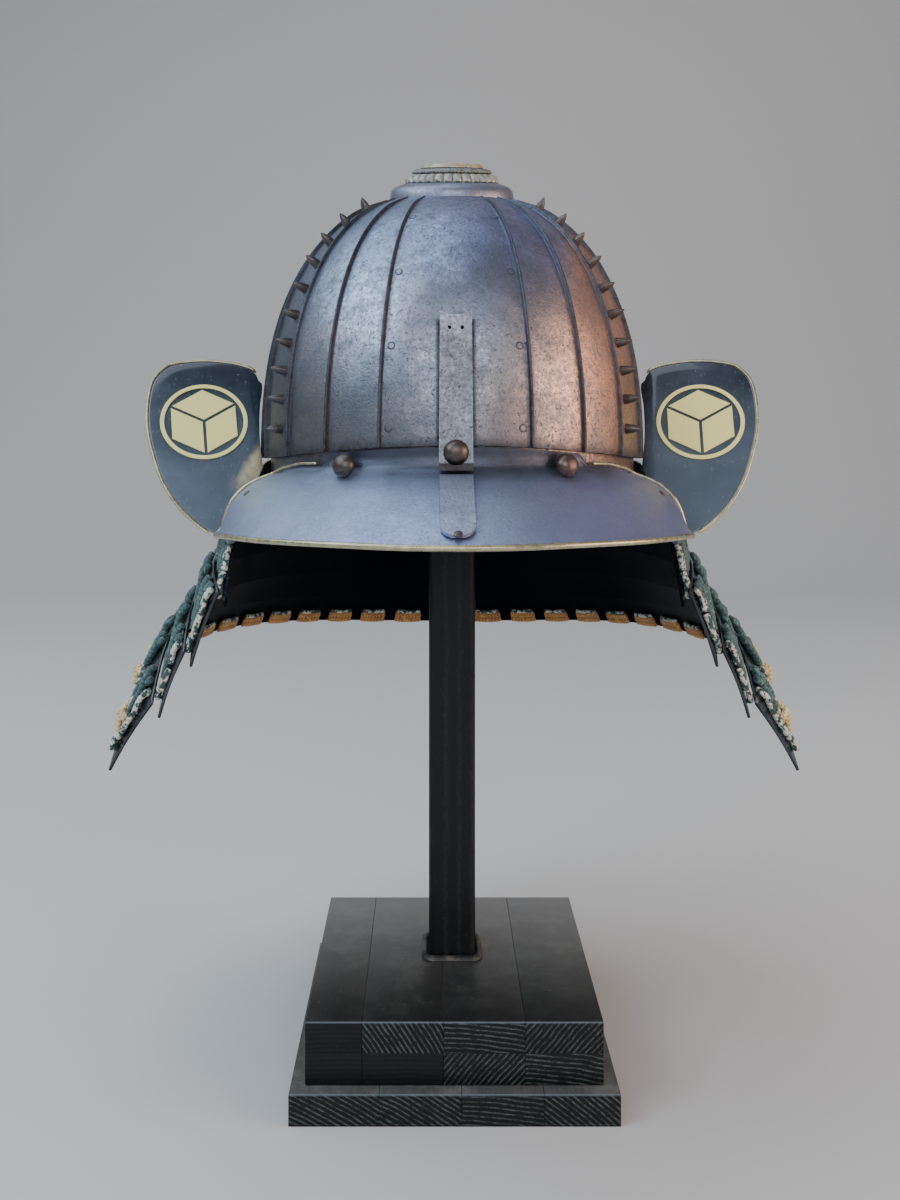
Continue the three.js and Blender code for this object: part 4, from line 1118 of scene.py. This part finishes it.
# A darker copy of the gold silk for the loops inside the guard: painted shade.
shaded_gold = braided_silk("gold_silk_painted_shade", (0.2, 0.07, 0.012), (0.6, 0.3, 0.08), (0.6, 0.36, 0.12), 0.1)
gold = braided_silk("gold_silk", (0.4, 0.25, 0.08), (0.9, 0.7, 0.36), (0.86, 0.76, 0.52), 0.1)


def column_places(index):
    """Places of the braid pairs along a lame, and half the room of one pair."""
    half_edge = 1.95 * lower_edges[index][0]
    return steps(column_count - 1, -column_end, column_end), pair_room / half_edge


def braid_down(skin, index, route, width, thick):
    """A braid over a lame's face; route gives along, down and extra lift in millimetres."""
    lift = 0.42 * thick
    path = [lame_point(index, along, down, (lift + extra) * MM) for along, down, extra in route]
    plait(skin, path, [lame_out(index, along, down) for along, down, _ in route], width, thick)


for index in range(1, 5):
    places, half = column_places(index)
    cords = Skin()
    reach = reaches[index - 1]
    for middle in places:
        sway = random.uniform(-0.12, 0.12) * half
        for hand in (-1, 1):
            route = []
            for down in steps(8, 0.015, reach):
                share = down / reach
                turn = math.pi * smooth_between(share, 0, 0.55)
                over = max(0, 1.2 * hand * math.sin(turn))
                plump = math.sin(math.pi * min(1, share * 1.02)) ** 0.5
                along = middle + hand * math.cos(turn) * half * 0.66 + sway * share
                route.append((along, down, over + 0.8 * plump - 0.3))
            braid_down(cords, index, route, 6.2, 3.9)
    cords.piece(f"silk_lacing_{index + 1}", "teal_silk", teal, [f"lacing_{index + 1}"], sharp=70)
    braid = Skin()
    for side in (-1, 1):
        for low, high in ((0.04, 0.36), (0.38, 0.66), (0.68, 0.975)):
            wander = random.uniform(-0.003, 0.003)
            route = []
            for down in steps(5, low, high):
                along = side * (edge_place + wander - 0.006 * math.sin(9 * down))
                route.append((along, down, 0.7 * math.sin(math.pi * (down - low) / (high - low))))
            braid_down(braid, index, route, 5.4, 3.4)
    braid.piece(f"edge_braid_{index + 1}", "teal_silk", white_teal, sharp=70)


# ---- Cross knots -----------------------------------------------------------------------------
# Below the lacing of the lowest lame a wavy flecked braid runs along it, and a gold braid crosses
# itself once under each pair. Inside, the gold braid shows as a broad loop with a pale fringe.
places, half = column_places(4)
wave = Skin()
wave_route = []
for along in steps(216, -0.975, 0.975):
    wave_route.append((along, 0.56 + 0.02 * math.cos(along * math.pi * column_count), 0.4))
braid_down(wave, 4, wave_route, 3.6, 2.8)
wave.piece("flecked_wave_cord", "teal_silk", white_teal, sharp=70)
knots = Skin()
for middle in places:
    for hand in (-1, 1):
        route = []
        for share in steps(4, 0, 1):
            over = 1.1 if hand > 0 and share == 0.5 else 0
            along = middle + hand * half * 0.95 * (2 * share - 1)
            route.append((along, 0.63 + 0.22 * share, 2.3 * math.sin(math.pi * share) + over))
        braid_down(knots, 4, route, 4.6, 3.4)
knots.piece("gold_cross_knots", "gold_silk", gold, ["cross_knots"], sharp=70)
loops, fringe = Skin(), Skin()
inner_rows = ((loops, 0.93, 1.9, 4.6), (loops, 0.82, 1.9, 4.6), (fringe, 0.735, 1.71, 2.6))
for middle in places[1:-1]:
    for skin, down, reach, width in inner_rows:
        path = []
        for across in steps(4, -1, 1):
            path.append(lame_point(4, middle + half * reach * across, down - 0.02 * across ** 2, -3.1 * MM))
        plait(skin, path, [-lame_out(4, middle, 0.9)], width, 2.6)
loops.piece("gold_inner_loops", "gold_silk", shaded_gold, sharp=70)
fringe.piece("pale_inner_fringe", "teal_silk", white_teal, sharp=70)


# ---- Floor and light -------------------------------------------------------------------------
# A pale seamless sweep. Blue sky light falls from high on the left, paler light from in front, more
# from a window on the left and warm light off a wall on the right, in a dim even surround.
bend_from, bend_radius, floor_half = 1.6, 1.2, 4
sweep = [(-3, 0), (bend_from, 0)]
for turn in steps(16, 0.05, math.pi / 2):
    sweep.append((bend_from + bend_radius * math.sin(turn), bend_radius * (1 - math.cos(turn))))
sweep.append((bend_from + bend_radius, 4))
floor_mesh = bpy.data.meshes.new("floor")
floor_points = [(x, y, z) for y, z in sweep for x in (-floor_half, floor_half)]
floor_faces = [(i, i + 1, i + 3, i + 2) for i in range(0, len(floor_points) - 2, 2)]
floor_mesh.from_pydata(floor_points, [], floor_faces)
floor_mesh.shade_smooth()
paper = new_finish("pale_paper")
floor_mesh.materials.append(paper.surface({"Base Color": (0.66, 0.655, 0.65), "Roughness": 0.9}))
floor_piece = bpy.data.objects.new("floor", floor_mesh)
bpy.context.scene.collection.objects.link(floor_piece)


def soft_light(name, place, target, size, watts, colour):
    """A soft rectangular light at a place, turned to its target."""
    lamp = bpy.data.lights.new(name, "AREA")
    lamp.shape = "RECTANGLE"
    lamp.size, lamp.size_y = size
    lamp.energy = watts
    lamp.color = colour
    made = bpy.data.objects.new(name, lamp)
    made.location = place
    made.rotation_euler = (Vector(target) - Vector(place)).to_track_quat("-Z", "Y").to_euler()
    bpy.context.scene.collection.objects.link(made)


soft_light("sky", (-0.95, 0.1, 2.0), (-0.1, 0, 0.35), size=(1.9, 2.4), watts=27, colour=(0.74, 0.87, 1))
soft_light("front_sky", (-0.1, -2.1, 1.15), (0, 0, 0.38), size=(2.0, 1.1), watts=20, colour=(0.9, 0.93, 1))
soft_light("left_window", (-1.55, -0.85, 1.6), (0, 0, 0.4), size=(1.3, 1.1), watts=17, colour=(0.68, 0.85, 1))
soft_light("right_wall", (1.7, -0.55, 0.62), (0, 0, 0.38), size=(1.6, 0.95), watts=23, colour=(1, 0.7, 0.52))
world = bpy.data.worlds.new("surround")
bpy.context.scene.world = world
world.use_nodes = True
world.node_tree.nodes["Background"].inputs["Color"].default_value = (0.62, 0.64, 0.66, 1)
world.node_tree.nodes["Background"].inputs["Strength"].default_value = 0.46
